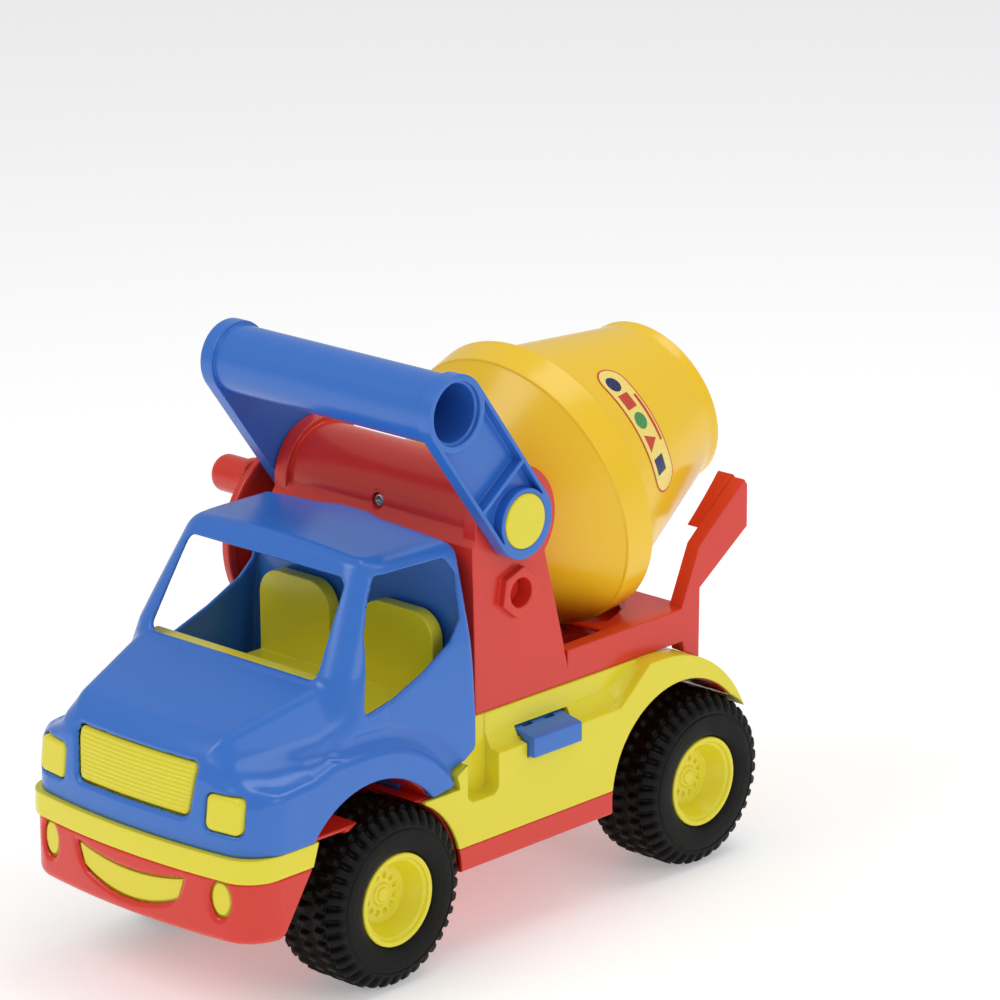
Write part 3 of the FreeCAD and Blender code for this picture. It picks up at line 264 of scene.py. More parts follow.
def tyre_plastic(name, colour):
    """Dark soft plastic with a dull dusty bloom."""
    material, tree, shader = new_material(name)
    bloom = add_noise(tree, 60.0, 5.0)
    grain = add_noise(tree, 1600.0, 3.0)
    link_tint(tree, shader, bloom, colour, 0.3)
    link_range(tree, bloom, 0.38, 0.55, shader.inputs["Roughness"])
    link_bump(tree, shader, grain, 0.25, 0.0001)
    shader.inputs["Specular IOR Level"].default_value = 0.15
    return material


def zinc_steel(name, colour):
    """Zinc-plated steel with fine scratches."""
    material, tree, shader = new_material(name)
    film = add_noise(tree, 300.0, 4.0)
    link_tint(tree, shader, film, colour, 0.12)
    link_range(tree, film, 0.25, 0.42, shader.inputs["Roughness"])
    link_bump(tree, shader, film, 0.1, 0.0001)
    shader.inputs["Metallic"].default_value = 1.0
    return material


def printed_film(name, colour):
    """Thin printed film with a satin coat."""
    material, tree, shader = new_material(name)
    ink = add_noise(tree, 900.0, 3.0)
    link_tint(tree, shader, ink, colour, 0.06)
    link_range(tree, ink, 0.22, 0.32, shader.inputs["Roughness"])
    link_bump(tree, shader, ink, 0.04, 0.00005)
    return material


def finish(name):
    material = bpy.data.materials.get(name)
    if material is None:
        raise RuntimeError("there is no finish " + name)
    return material


# ---------------------------------------------------------------- mesh helpers
def mesh_piece(name, vertices, faces, materials, body, slot, replaced=(), face_slots=None,
               smooth=True):
    """A new piece from row-frame vertices, shaded, finished and riding on its body."""
    mesh = bpy.data.meshes.new(name)
    mesh.from_pydata([tuple(v) for v in vertices], [], [tuple(f) for f in faces])
    mesh.validate()
    for item in materials:
        mesh.materials.append(finish(item))
    if face_slots is not None:
        mesh.polygons.foreach_set("material_index", face_slots)
    if smooth:
        mesh.polygons.foreach_set("use_smooth", [True] * len(mesh.polygons))
    mesh.update()
    piece = bpy.data.objects.new(name, mesh)
    bpy.context.scene.collection.objects.link(piece)
    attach(piece, body)
    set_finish(piece, slot)
    if replaced:
        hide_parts(*replaced)
    return piece


def grid_faces(rows, columns, close_rows=False, close_columns=True):
    """Quads of a grid with rows x columns points, closed round either way."""
    faces = []
    row_span = rows if close_rows else rows - 1
    column_span = columns if close_columns else columns - 1
    for i in range(row_span):
        low, high = i * columns, ((i + 1) % rows) * columns
        for j in range(column_span):
            k = (j + 1) % columns
            faces.append((low + j, low + k, high + k, high + j))
    return faces


def gather(parts):
    """Several (points, faces) as one."""
    vertices, faces = [], []
    for points, quads in parts:
        faces += [tuple(len(vertices) + i for i in f) for f in quads]
        vertices += list(points)
    return np.array(vertices), faces


def fillet(points, radii, steps=5):
    """Polyline with its inner corners rounded; radii has one value for each point."""
    out = []
    count = len(points)
    for i, point in enumerate(points):
        p = np.array(point, float)
        r = radii[i]
        if i == 0 or i == count - 1 or r <= 0:
            out.append(p)
            continue
        a, b = np.array(points[i - 1], float) - p, np.array(points[i + 1], float) - p
        la, lb = np.linalg.norm(a), np.linalg.norm(b)
        a, b = a / la, b / lb
        angle = math.acos(max(-1.0, min(1.0, float(a @ b))))
        reach = min(r / math.tan(angle / 2), 0.45 * la, 0.45 * lb)
        start, end = p + a * reach, p + b * reach
        for k in range(steps + 1):
            t = k / steps
            out.append((1 - t) ** 2 * start + 2 * t * (1 - t) * p + t * t * end)
    return np.array(out)


def resample(points, spacing):
    """Polyline points with none further apart than spacing."""
    out = [points[0]]
    for a, b in zip(points, points[1:]):
        n = max(1, int(math.ceil(np.linalg.norm(b - a) / spacing)))
        for k in range(1, n + 1):
            out.append(a + (b - a) * k / n)
    return np.array(out)


# ---------------------------------------------------------------- cab
def smooth_min(a, b, k):
    h = np.maximum(k - np.abs(a - b), 0.0) / k
    return np.minimum(a, b) - h * h * k * 0.25


def smooth_max(a, b, k):
    return -smooth_min(-a, -b, k)


def round_max(a, b, r):
    """Where two half spaces meet, with an exact round edge of radius r."""
    corner = np.hypot(np.maximum(a + r, 0.0), np.maximum(b + r, 0.0))
    return np.minimum(np.maximum(a, b), -r) + corner


def ramp(value, low, high):
    t = np.clip((value - low) / (high - low), 0.0, 1.0)
    return t * t * (3 - 2 * t)


def round_outline(points, radius):
    """Closed outline with round corners."""
    points = [np.array(p, float) for p in points]
    middle = (points[0] + points[-1]) / 2
    loop = [middle] + points + [middle]
    return fillet(loop, [0] + [radius] * len(points) + [0], 4)[:-1]


def outline_distance(points, u, v):
    """Signed distance to a closed outline, negative inside."""
    u, v = np.broadcast_arrays(np.asarray(u, float), np.asarray(v, float))
    best = np.full(u.shape, 1e18)
    inside = np.zeros(u.shape, bool)
    for (ax, ay), (bx, by) in zip(points, np.roll(points, -1, axis=0)):
        ex, ey = bx - ax, by - ay
        px, py = u - ax, v - ay
        t = np.clip((px * ex + py * ey) / (ex * ex + ey * ey), 0.0, 1.0)
        best = np.minimum(best, (px - t * ex) ** 2 + (py - t * ey) ** 2)
        crosses = (ay > v) != (by > v)
        if by != ay:
            inside ^= crosses & (u < ex * (v - ay) / (by - ay) + ax)
    return np.where(inside, -1.0, 1.0) * np.sqrt(best)


ARCH_Y, ARCH_Z, ARCH_RADIUS, FLARE_RADIUS = -124.5, 56.3, 51.6, 66.5
CAB_HALF_WIDTH, NOSE_CORNER = 82.1, 19.0
ROOF_Z, SCREEN_FOOT_Z, SCREEN_TOP_Z, SCREEN_HALF = 213.4, 157.3, 202.5, 58.7
GRILLE_LOW, GRILLE_HIGH, GRILLE_HALF, GRILLE_SPREAD = 102.2, 128.5, 38.5, 0.133
LAMP_X, LAMP_Z, LAMP_HALF_X, LAMP_HALF_Z = 60.25, 107.75, 10.75, 9.25
SIDE_WINDOW = round_outline([(-127.6, 140.8), (-125.4, 153), (-119.5, 178), (-112.4, 193.5),
                             (-106.3, 203.6), (-60.5, 202.6), (-54.6, 194), (-56.5, 172),
                             (-64.6, 163), (-84.7, 152.8), (-106.8, 144.6)], 4.0)


def cab_greenhouse(x, y, z):
    """Upper cab: walls that lean in, the windscreen's slope, the back and the roof."""
    half = np.interp(z, [60, 121, 140, 150, 160, 170, 205, 222],
                     [79.5, 79.5, 78.5, 77.7, 76.5, 74.5, 66.7, 62.9])
    side = (x - half) * 0.98
    nose = np.interp(z, [60, 121, 160, 205, 222], [-176, -154, -140, -115, -105.6])
    front = (nose - y) * 0.9
    back = y - np.interp(z, [160, 205, 213.5, 222], [-50, -50.3, -52.5, -54.8])
    walls = round_max(round_max(side, front, 16.0), back, 4.0)
    roof = z - (ROOF_Z - 0.0008 * x * x)
    share = ramp(side - front, -6.0, 6.0)
    return round_max(walls, roof, 4.0 + 5.0 * share)


def front_bow(x):
    """How far the front of the cab and the bumper falls back towards the sides."""
    return 4.5 * np.minimum(np.abs(x) / 62.0, 1.3) ** 2


def face_y(x, z):
    """Front of the nose, which leans back and bows."""
    lean = np.interp(z, [101, 122, 130, 160], [-210.0, -207.5, -205.0, -190.0])
    return lean + front_bow(x)


def cab_face(x, y, z):
    return (face_y(x, z) - y) * 0.98


def cab_hood(x, y, z):
    """Hood with a sloping top, sides that fall to the fenders and a foot."""
    top_z = 141.0 + 0.293 * (y + 195.0)
    top_x = 50.0 + 0.2462 * (y + 195.0)
    top = (z - top_z) * 0.9596
    slope = (x - top_x - 0.72 * (top_z - z)) * 0.8
    foot = (x - np.interp(y, [-212, -203, -178, -153, -130, -50],
                          [50, 56, 65.2, 74, 77, 79])) * 0.95
    sides = round_max(slope, foot, 2.0)
    return np.maximum(round_max(top, sides, 3.0), y + 115.0)


def ridge_height(x, y, z):
    """Distance above the top of the fender, which rises inwards ahead of the wheel."""
    line = np.interp(y, [-212, -200, -185, -162, -150, -125], [117, 117, 117, 119, 123, 123])
    ahead = z - line - 0.25 * np.clip(82.0 - x, 0.0, 40.0)
    round_part = np.hypot(y - ARCH_Y, z - ARCH_Z) - FLARE_RADIUS
    return np.where(y < ARCH_Y, ahead, round_part)


def cab_outside(x, y, z):
    """Outer skin of the cab, before the wall and the openings."""
    face, side = cab_face(x, y, z), x - CAB_HALF_WIDTH
    plan = round_max(face, side, NOSE_CORNER)
    blend = 4.0 + 9.0 * ramp(-y, 145.0, 178.0)
    nose = smooth_min(cab_hood(x, y, z), ridge_height(x, y, z), blend)
    edge = 3.2 + 4.3 * ramp(face - side, -12.0, 4.0)
    body = smooth_min(round_max(nose, plan, edge), cab_greenhouse(x, y, z), 3.0)
    ridge = ridge_height(np.maximum(x, 82.0), y, z)
    fade = 7.0 * (1 - ramp(y, -166.0, -142.0))
    groove = np.hypot(x - 83.5, ridge - 6.0) - 6.5 + fade
    body = smooth_max(body, -groove, 1.6)
    low = (-11.4 * (y + 68) + 18 * (z - 95.6)) / 21.3
    tip = (-5.6 * (y + 68) - 2 * (z - 95.6)) / 5.946
    body = smooth_max(body, -np.maximum(low, tip), 1.0)
    strip = np.maximum(z - (89 + 0.1524 * (y + 84.4)), -84.4 - y)
    return np.maximum(body, -strip)


def cab_field(x, y, z, wall):
    """Negative inside the cab's moulded wall."""
    x = np.abs(x)
    skin = cab_outside(x, y, z)
    shell = smooth_max(skin, -(skin + wall), 0.6)
    arch = np.maximum(np.hypot(y - ARCH_Y, z - ARCH_Z) - ARCH_RADIUS, 60.0 - x)
    shell = smooth_max(shell, -arch, 1.2)

    screen_half = SCREEN_HALF - 0.0841 * (z - SCREEN_FOOT_Z)
    screen = round_max((x - screen_half) * 0.99,
                       np.maximum(SCREEN_FOOT_Z - z, z - SCREEN_TOP_Z), 5.0)
    shell = smooth_max(shell, -np.maximum(screen, y + 95.0), 1.4)

    chamfer = np.maximum(0.0, 2.2 + skin)
    grille_half = GRILLE_HALF + GRILLE_SPREAD * (z - GRILLE_LOW)
    grille = round_max(x - grille_half, np.maximum(GRILLE_LOW - z, z - GRILLE_HIGH), 3.5)
    shell = smooth_max(shell, -np.maximum(grille - chamfer, y + 185.0), 0.9)
    lamp = round_max(np.abs(x - LAMP_X) - LAMP_HALF_X, np.abs(z - LAMP_Z) - LAMP_HALF_Z, 4.0)
    shell = smooth_max(shell, -np.maximum(lamp - 0.35 * chamfer, y + 180.0), 0.9)
    return smooth_max(shell, SEAT_Z - z, 0.8)


def with_window(field, window, x):
    """The side windows, cut through both sides."""
    return smooth_max(field, -np.maximum(window, 58.0 - np.abs(x)), 1.4)


def surface_net(field, spacing, low):
    """Quads round the zero level of a grid of values, one vertex for each crossed cell."""
    inside = field < 0
    shape = tuple(n - 1 for n in field.shape)
    corners = [(i, j, k) for i in (0, 1) for j in (0, 1) for k in (0, 1)]
    count = np.zeros(shape, np.int8)
    for i, j, k in corners:
        count += inside[i:i + shape[0], j:j + shape[1], k:k + shape[2]]
    active = np.argwhere((count > 0) & (count < 8))
    index = np.full(shape, -1, np.int64)
    index[tuple(active.T)] = np.arange(len(active))
    value = {c: field[tuple((active + np.array(c)).T)] for c in corners}
    total = np.zeros((len(active), 3))
    crossings = np.zeros(len(active))
    for a in corners:
        for axis in range(3):
            if a[axis]:
                continue
            b = list(a)
            b[axis] = 1
            va, vb = value[a], value[tuple(b)]
            mask = (va < 0) != (vb < 0)
            t = np.where(mask, va / np.where(mask, va - vb, 1.0), 0.0)
            point = np.tile(np.array(a, float), (len(active), 1))
            point[:, axis] = t
            total += point * mask[:, None]
            crossings += mask
    vertices = (active + total / crossings[:, None]) * spacing + low

    quads = []
    for axis in range(3):
        u, v = (axis + 1) % 3, (axis + 2) % 3
        near = [slice(None)] * 3
        far = [slice(None)] * 3
        near[axis], far[axis] = slice(0, -1), slice(1, None)
        crossed = inside[tuple(near)] != inside[tuple(far)]
        places = np.argwhere(crossed)
        keep = (places[:, u] > 0) & (places[:, v] > 0)
        keep &= (places[:, u] < shape[u]) & (places[:, v] < shape[v])
        places = places[keep]
        ring = []
        for du, dv in ((-1, -1), (0, -1), (0, 0), (-1, 0)):
            cell = places.copy()
            cell[:, u] += du
            cell[:, v] += dv
            ring.append(index[tuple(cell.T)])
        ring = np.stack(ring, 1)
        outward = inside[tuple(places.T)]
        quads.append(np.where(outward[:, None], ring, ring[:, ::-1]))
    return vertices, np.concatenate(quads)


def settle(vertices, field, limit):
    """Moves vertices onto the zero level of an exact field."""
    step = 0.05
    for _ in range(4):
        x, y, z = vertices.T
        value = field(x, y, z)
        slope = np.stack([field(x + step, y, z) - field(x - step, y, z),
                          field(x, y + step, z) - field(x, y - step, z),
                          field(x, y, z + step) - field(x, y, z - step)], 1) / (2 * step)
        size = np.maximum((slope ** 2).sum(1), 0.2)
        move = -value[:, None] * slope / size[:, None]
        length = np.linalg.norm(move, axis=1, keepdims=True)
        vertices = vertices + move * np.minimum(1.0, limit / np.maximum(length, 1e-9))
    return vertices


def mould(field, low, high, cell, node):
    """Surface of an exact field between two corners, kept inside a CAD node's box."""
    low = np.array(low, float)
    axes = [np.arange(low[i], high[i] + cell, cell) for i in range(3)]
    axes[0] = axes[0] - (axes[0][0] + axes[0][-1]) / 2
    low[0] = axes[0][0]
    values = field(axes[0][:, None, None], axes[1][None, :, None], axes[2][None, None, :])
    vertices, quads = surface_net(values, cell, low)
    vertices = settle(vertices, field, 0.35 * cell)
    return np.clip(vertices, *box_mm(node)), quads


def build_cab(wall, cell):
    def field(x, y, z):
        window = outline_distance(SIDE_WINDOW, y, z)
        return with_window(cab_field(x, y, z, wall), window, x)

    return mould(field, (-84.0, -213.0, 86.0), (84.0, -47.0, 216.0), cell, "cab_shell")


# ---------------------------------------------------------------- grille and headlights
RIB_PITCH, RIB_HEIGHT = 2.1, 0.28


def grid_panel(x, y, z, depth):
    """A skin of grid points, given as arrays, with a skirt to the back and a closed rear."""
    rows, columns = x.shape
    points = np.stack([x, y, z], 2).reshape(-1, 3)
    faces = grid_faces(rows, columns, close_columns=False)
    loop = [(0, j) for j in range(columns)] + [(i, columns - 1) for i in range(1, rows)]
    loop += [(rows - 1, j) for j in range(columns - 2, -1, -1)]
    loop += [(i, 0) for i in range(rows - 2, 0, -1)]
    ring = [i * columns + j for i, j in loop]
    skirt = points[ring] + np.array([0.0, depth, 0.0])
    start, count = len(points), len(ring)
    for k in range(count):
        n = (k + 1) % count
        faces.append((ring[k], start + k, start + n, ring[n]))
    faces.append(tuple(range(start, start + count)))
    return np.concatenate([points, skirt]), faces


def face_panel(centre, low, high, half_width, corner, front, depth, spacing=0.5):
    """A panel with round corners, in rows of points from low to high."""
    rows = int(round((high - low) / spacing)) + 1
    z = np.linspace(low, high, rows)
    half = np.array([half_width(v) for v in z])
    columns = max(12, int(2 * half.max() / 1.2))
    edge = np.minimum(z - low, high - z)
    half = half - corner + np.sqrt(corner ** 2 - np.maximum(corner - edge, 0.0) ** 2)
    x = centre + np.linspace(-1, 1, columns)[None, :] * half[:, None]
    z = np.broadcast_to(z[:, None], x.shape)
    rim = np.minimum(np.broadcast_to(edge[:, None], x.shape), half[:, None] - np.abs(x - centre))
    return grid_panel(x, front(x, z, np.maximum(rim, 0.0)), z, depth)


def grille_front(x, z, rim):
    ribs = RIB_HEIGHT * np.sin((z - 102.0) * 2 * math.pi / RIB_PITCH)
    return face_y(x, z) + 1.5 + ribs * ramp(rim, 0.6, 2.0) + 0.8 * (1 - ramp(rim, 0.0, 1.2))


def lamp_front(x, z, rim):
    return face_y(x, z) + 0.35 + 1.3 * (1 - ramp(rim, -1.4, 1.8))


def plate_front(x, z, rim):
    return face_y(x, z) + 4.6


def build_face_panels():
    """Grille, two headlights and the plate that joins them behind the cab's face."""
    parts = [face_panel(0.0, 102.5, 128.2, lambda z: 38.2 + GRILLE_SPREAD * (z - GRILLE_LOW),
                        3.2, grille_front, 3.2)]
    for side in (1, -1):
        parts.append(face_panel(side * LAMP_X, 98.9, 116.6, lambda z: 10.35, 3.7,
                                lamp_front, 4.4))
    parts.append(face_panel(0.0, 94.0, 118.5, lambda z: 71.0, 3.0, plate_front, 1.6, 1.5))
    return gather(parts)


# ---------------------------------------------------------------- bumper
BUMPER_FRONT_Y, BUMPER_BACK_Y = -212.7, -165.5
BUMPER_FOOT_Z, BUMPER_TOP_Z, BUMPER_WALL, BUMPER_CORNER = 44.0, 76.0, 2.4, 18.7
BUMPER_HALF_WIDTH = 81.4
OVAL_X, OVAL_Z = 60.0, 66.0
PAD_DEPTH, PLATE_DEPTH = 2.0, 3.4


def bumper_y(x):
    """Bowed front of the bumper."""
    return BUMPER_FRONT_Y + front_bow(x)


def smile_top(x):
    return 66.5 + 4.5 * (x / 37.0) ** 2


def smile_bottom(x):
    return 52.5 + 7.5 * (x / 33.0) ** 2


def smile_end(x):
    """Steep line at the smile's corner."""
    return 60.0 + (np.abs(x) - 33.0) * 2.75


def smile_distance(x, z):
    """Distance outside the smile, negative inside."""
    low = round_max((smile_bottom(x) - z) * 0.94, (smile_end(x) - z) * 0.342, 3.0)
    return round_max(low, z - smile_top(x), 1.6)


def bumper_field(x, y, z):
    """Negative inside the red bumper's wall."""
    x = np.abs(x)
    plan = round_max((bumper_y(x) - y) * 0.98, x - BUMPER_HALF_WIDTH, BUMPER_CORNER)
    skin = round_max(plan, BUMPER_FOOT_Z - z, 5.0)
    hollow = smooth_max(plan + BUMPER_WALL, BUMPER_FOOT_Z + BUMPER_WALL - z, 1.0)
    shell = smooth_max(skin, -hollow, 0.6)
    shell = smooth_max(shell, z - BUMPER_TOP_Z, 0.9)
    slant = (y + 187.0 - (z - BUMPER_FOOT_Z) * 0.656) * 0.836
    shell = smooth_max(shell, -np.maximum(-slant, 36.0 - x), 0.9)
    chamfer = 0.95 * np.maximum(0.0, BUMPER_WALL + plan)
    smile = smile_distance(x, z)
    shell = smooth_max(shell, -np.maximum(smile - chamfer, y + 190.0), 1.4)
    oval = (np.hypot((x - OVAL_X) / 5.6, (z - OVAL_Z) / 8.5) - 1.0) * 6.4
    shell = smooth_max(shell, -np.maximum(oval - chamfer, y + 190.0), 1.4)
    return np.maximum(shell, y - BUMPER_BACK_Y)


def build_bumper(cell):
    return mould(bumper_field, (-83.0, -215.0, 42.0), (83.0, -163.0, 78.0), cell, "base_plate")


def oval_half(z):
    """Half width of an oval pad at a height."""
    return 5.3 * math.sqrt(max(0.0, 1 - ((z - OVAL_Z) / 8.05) ** 2))


def pad_front(x, z, rim):
    return bumper_y(x) + PAD_DEPTH


def bumper_plate_front(x, z, rim):
    return bumper_y(x) + PLATE_DEPTH


def build_bumper_panels():
    """Pads behind the smile and the two ovals, and the plate that joins them."""
    x = np.linspace(-36.4, 36.4, 90)
    low = np.maximum(smile_bottom(x), smile_end(x)) + 0.3
    high = smile_top(x) - 0.3
    share = np.linspace(0, 1, 22)[:, None]
    z = low + share * (high - low)
    x = np.broadcast_to(x, z.shape)
    parts = [grid_panel(x, bumper_y(x) + PAD_DEPTH, z, 3.0)]
    for side in (1, -1):
        parts.append(face_panel(side * OVAL_X, 58.0, 74.0, oval_half, 0.2, pad_front, 3.0))
    parts.append(face_panel(0.0, 50.0, 74.5, lambda z: 70.0, 3.0, bumper_plate_front, 1.4, 1.5))
    return gather(parts)


# ---------------------------------------------------------------- tyres
def soft_box(offset, half, soft):
    """1 within half of the middle and 0 outside, with a soft step between."""
    return ramp(half - np.abs(offset), -soft / 2, soft / 2)


def tyre_section(radius, half_width, bead):
    """(r, x) outline from the outer bead over the tread to the inner bead, x = 0 in the middle."""
    w = half_width
    points = [(bead + 0.1, w - 6.0), (bead + 0.1, w - 2.6), (bead + 1.6, w - 0.9),
              (bead + 4.0, w - 0.35), (radius - 14.0, w), (radius - 10.6, w - 0.1),
              (radius - 9.6, w - 0.9), (radius - 8.6, w - 0.35), (radius - 5.5, w - 1.0),
              (radius - 1.3, w - 4.2), (radius, w - 8.5), (radius, 0.0)]
    radii = [0, 1.5, 2, 3, 6, 1.5, 0.8, 2, 5, 6, 8, 0]
    half = fillet(points, radii)
    other = half[-2::-1] * np.array([1, -1])
    return resample(np.concatenate([half, other]), 0.85)


def tread_depth(angle, across, radius_here, radius, lugs, depth):
    """How far the surface sinks between the blocks."""
    pitch = 2 * math.pi / lugs
    step = pitch * radius
    side = np.where(across > 0, 0.0, 0.5)
    turn = (angle / pitch + side) % 1.0 - 0.5
    half_turn = (angle / pitch + side + 0.5) % 1.0 - 0.5
    spread = np.abs(across)
    lug = soft_box(turn * step, 0.3 * step, 1.5) * soft_box(spread - 23.5, 8.2, 1.5)
    inner_lug = soft_box(half_turn * step, 0.27 * step, 1.5) * soft_box(spread - 10.8, 3.2, 1.5)
    centre_turn = (angle / pitch) % 1.0 - 0.5
    centre = soft_box(centre_turn * step, 0.27 * step, 1.5) * soft_box(across, 3.1, 1.5)
    blocks = np.maximum(np.maximum(lug, inner_lug), centre)
    reach = ramp(radius_here, radius - 8.8, radius - 4.0)
    return depth * (1 - blocks) * reach


def build_tyre(node, lugs, depth):
    low, high = box_mm(node)
    centre = (low + high) / 2
    radius = (high[2] - low[2]) / 2
    half_width = (high[0] - low[0]) / 2
    rim_low, rim_high = box_mm(node.replace("tyre", "rim"))
    bead = (rim_high[2] - rim_low[2]) / 2
    outward = 1.0 if centre[0] > 0 else -1.0

    section = tyre_section(radius, half_width, bead)
    tangent = np.gradient(section, axis=0)
    tangent /= np.linalg.norm(tangent, axis=1, keepdims=True)
    inward = np.stack([tangent[:, 1], -tangent[:, 0]], 1)
    length = np.concatenate([[0], np.cumsum(np.linalg.norm(np.diff(section, axis=0), axis=1))])
    across = length[len(length) // 2] - length

    turns = lugs * 12
    angle = np.arange(turns) * 2 * math.pi / turns
    sink = tread_depth(angle[None, :], across[:, None], section[:, :1], radius, lugs, depth)
    r = section[:, :1] + sink * inward[:, :1]
    x = (section[:, 1:] + sink * inward[:, 1:]) * outward
    points = np.stack([np.broadcast_to(x + centre[0], r.shape), centre[1] + r * np.cos(angle),
                       centre[2] + r * np.sin(angle)], 2)
    faces = grid_faces(len(section), turns, close_rows=True)
    if outward < 0:
        faces = [f[::-1] for f in faces]
    return points.reshape(-1, 3), faces


# ---------------------------------------------------------------- rims
HUB_HOLES, HUB_HOLE_RING, HUB_HOLE_DEPTH = 12, 9.6, 1.5


def build_rim(node):
    """Deep-dished rim with a stepped lip and twelve round holes in its hub."""
    low, high = box_mm(node)
    centre = (low + high) / 2
    radius = (high[2] - low[2]) / 2
    outward = 1.0 if centre[0] > 0 else -1.0
    face = high[0] - low[0]
    hub = face - 12.0
    points = [(2.05, hub - 2.0), (2.05, hub - 4.0), (radius - 9.6, hub - 4.0),
              (radius - 4.6, face - 8.0), (radius - 4.4, 0.0), (radius, 0.0),
              (radius, face), (radius - 2.5, face),
              (radius - 3.1, face - 1.6), (radius - 4.4, face - 2.3), (radius - 5.4, face - 4.4),
              (radius - 9.2, hub + 0.4), (radius - 10.0, hub), (6.2, hub), (5.2, hub + 1.0),
              (3.9, hub + 1.0), (3.4, hub + 1.9), (0.02, hub + 1.9)]
    radii = [0, 0, 1, 1, 0.6, 0.6, 0.9, 0.9, 0.6, 0.8, 1.5, 0.9, 0.9, 0.7, 0.6, 0.5, 0.6, 0]
    profile = resample(fillet(points, radii, 4), 0.55)
    turns = 288
    angle = np.arange(turns) * 2 * math.pi / turns
    r = np.broadcast_to(profile[:, :1], (len(profile), turns))
    x = np.broadcast_to(profile[:, 1:], r.shape).copy()
    pitch = 2 * math.pi / HUB_HOLES
    turn = (angle / pitch) % 1.0 - 0.5
    off = np.hypot(r - HUB_HOLE_RING, turn[None, :] * pitch * r)
    front = (r > 7.0) & (r < 12.6) & (x > hub - 1.0)
    x = np.where(front, x - HUB_HOLE_DEPTH * (1 - ramp(off, 0.95, 1.5)), x)
    side = low[0] if outward > 0 else high[0]
    vertices = np.stack([side + outward * x, centre[1] + r * np.cos(angle),
                         centre[2] + r * np.sin(angle)], 2)
    faces = grid_faces(len(profile), turns)
    if outward < 0:
        faces = [f[::-1] for f in faces]
    return vertices.reshape(-1, 3), faces


# ---------------------------------------------------------------- turned pieces
def drum_point(radius, distance, angle):
    """Lorry place at a distance along the drum axis; angle 0 is up and grows to the left."""
    centre = np.array([0.0, CRANK_Y, CRANK_Z])
    across = np.sin(angle)[..., None] * np.array([1.0, 0, 0]) + np.cos(angle)[..., None] * DRUM_UP
    return centre + distance[..., None] * DRUM_AXIS + radius[..., None] * across


def drum_lathe(points, radii, turns=192):
    """A closed (radius, distance) profile turned round the drum axis."""
    profile = resample(fillet(points, radii), 3.0)
    shape = (len(profile), turns)
    radius, distance = (np.broadcast_to(profile[:, i:i + 1], shape) for i in (0, 1))
    angle = np.broadcast_to(np.arange(turns) * 2 * math.pi / turns, shape)
    vertices = drum_point(radius, distance, angle).reshape(-1, 3)
    return vertices, grid_faces(len(profile), turns, close_rows=True)


BAND_REAR, CONE_START = 95.5, 72.0
MOUTH_S, MOUTH_RADIUS = 185.5, 45.0


def cone_radius(distance):
    """Radius of the rear cone at a distance along the drum axis."""
    share = (distance - BAND_REAR) / (MOUTH_S - BAND_REAR)
    return CONE_START + (MOUTH_RADIUS - CONE_START) * share


def drum_front_profile():
    points = [(1.7, 31.0), (36.0, 31.0), (42.0, 36.0), (75.0, 77.0), (76.2, 77.6), (78.0, 94.4),
              (77.0, BAND_REAR), (73.0, BAND_REAR), (73.0, 81.0), (72.2, 77.4),
              (39.8, 37.5), (35.0, 33.2), (10.0, 33.2), (10.0, 45.0), (1.7, 45.0)]
    radii = [0, 4, 4, 1.2, 0.8, 0.9, 0.9, 0, 0, 2, 2, 1, 0, 0, 0]
    return points + points[:1], radii + [0]


def drum_rear_profile():
    start = CONE_START
    points = [(73.0, 84.5), (73.0, 95.45), (start, BAND_REAR), (46.6, 178.0),
              (46.35, MOUTH_S), (43.2, MOUTH_S), (start - 2.2, BAND_REAR), (70.8, 84.5)]
    radii = [0, 0, 0, 14, 1.4, 1.2, 0, 0]
    return points + points[:1], radii + [0]


# Along the drum axis and half width in millimetres; middle and half arc in degrees.
LABEL_CENTRE, LABEL_HALF_WIDTH, LABEL_ANGLE, LABEL_HALF_ANGLE = 122.5, 9.6, 63.5, 33.0


def stadium(half_length, half_width, steps=14):
    """Outline with round ends, as (along, across)."""
    reach = half_length - half_width
    points = []
    for centre, start in ((reach, -90), (-reach, 90)):
        for k in range(steps + 1):
            a = math.radians(start + 180 * k / steps)
            points.append((centre + half_width * math.cos(a), half_width * math.sin(a)))
    return points


def film_on_drum(outline, lift, side, rings=7):
    """Points and faces of a flat outline laid on the cone, (along, across) in millimetres."""
    outline = resample(np.array(outline + outline[:1], float), 2.0)[:-1]
    middle = outline.mean(0)
    count = len(outline)
    flat = [middle + (outline - middle) * k / rings for k in range(1, rings + 1)]
    flat = np.concatenate([[middle]] + flat)
    distance = LABEL_CENTRE + flat[:, 1]
    radius = cone_radius(distance) + lift
    angle = math.radians(LABEL_ANGLE) + flat[:, 0] / cone_radius(LABEL_CENTRE)
    points = drum_point(radius, distance, side * angle)
    faces = [(0, 1 + j, 1 + (j + 1) % count) for j in range(count)]
    for k in range(rings - 1):
        a, b = 1 + k * count, 1 + (k + 1) * count
        faces += [(a + j, b + j, b + (j + 1) % count, a + (j + 1) % count) for j in range(count)]
    if side < 0:
        faces = [f[::-1] for f in faces]
    return points, faces


# ---------------------------------------------------------------- crank label
ARROW_RADIUS, ARROW_HALF_WIDTH, ARROW_HEAD = 28.0, 1.0, 3.2
ARROW_ARCS = ((150, 225), (-45, 30))


def crank_point(radius, angle, x):
    return np.stack([np.full(np.shape(angle), x), CRANK_Y + radius * np.cos(angle),
                     CRANK_Z + radius * np.sin(angle)], -1)


def ring_band(inner, outer, start, end, x, steps):
    """Flat band of a ring facing -X."""
    angle = np.radians(np.linspace(start, end, steps + 1))
    points = np.concatenate([crank_point(inner, angle, x), crank_point(outer, angle, x)])
    n = steps + 1
    return points, [(j, j + 1, n + j + 1, n + j) for j in range(steps)]


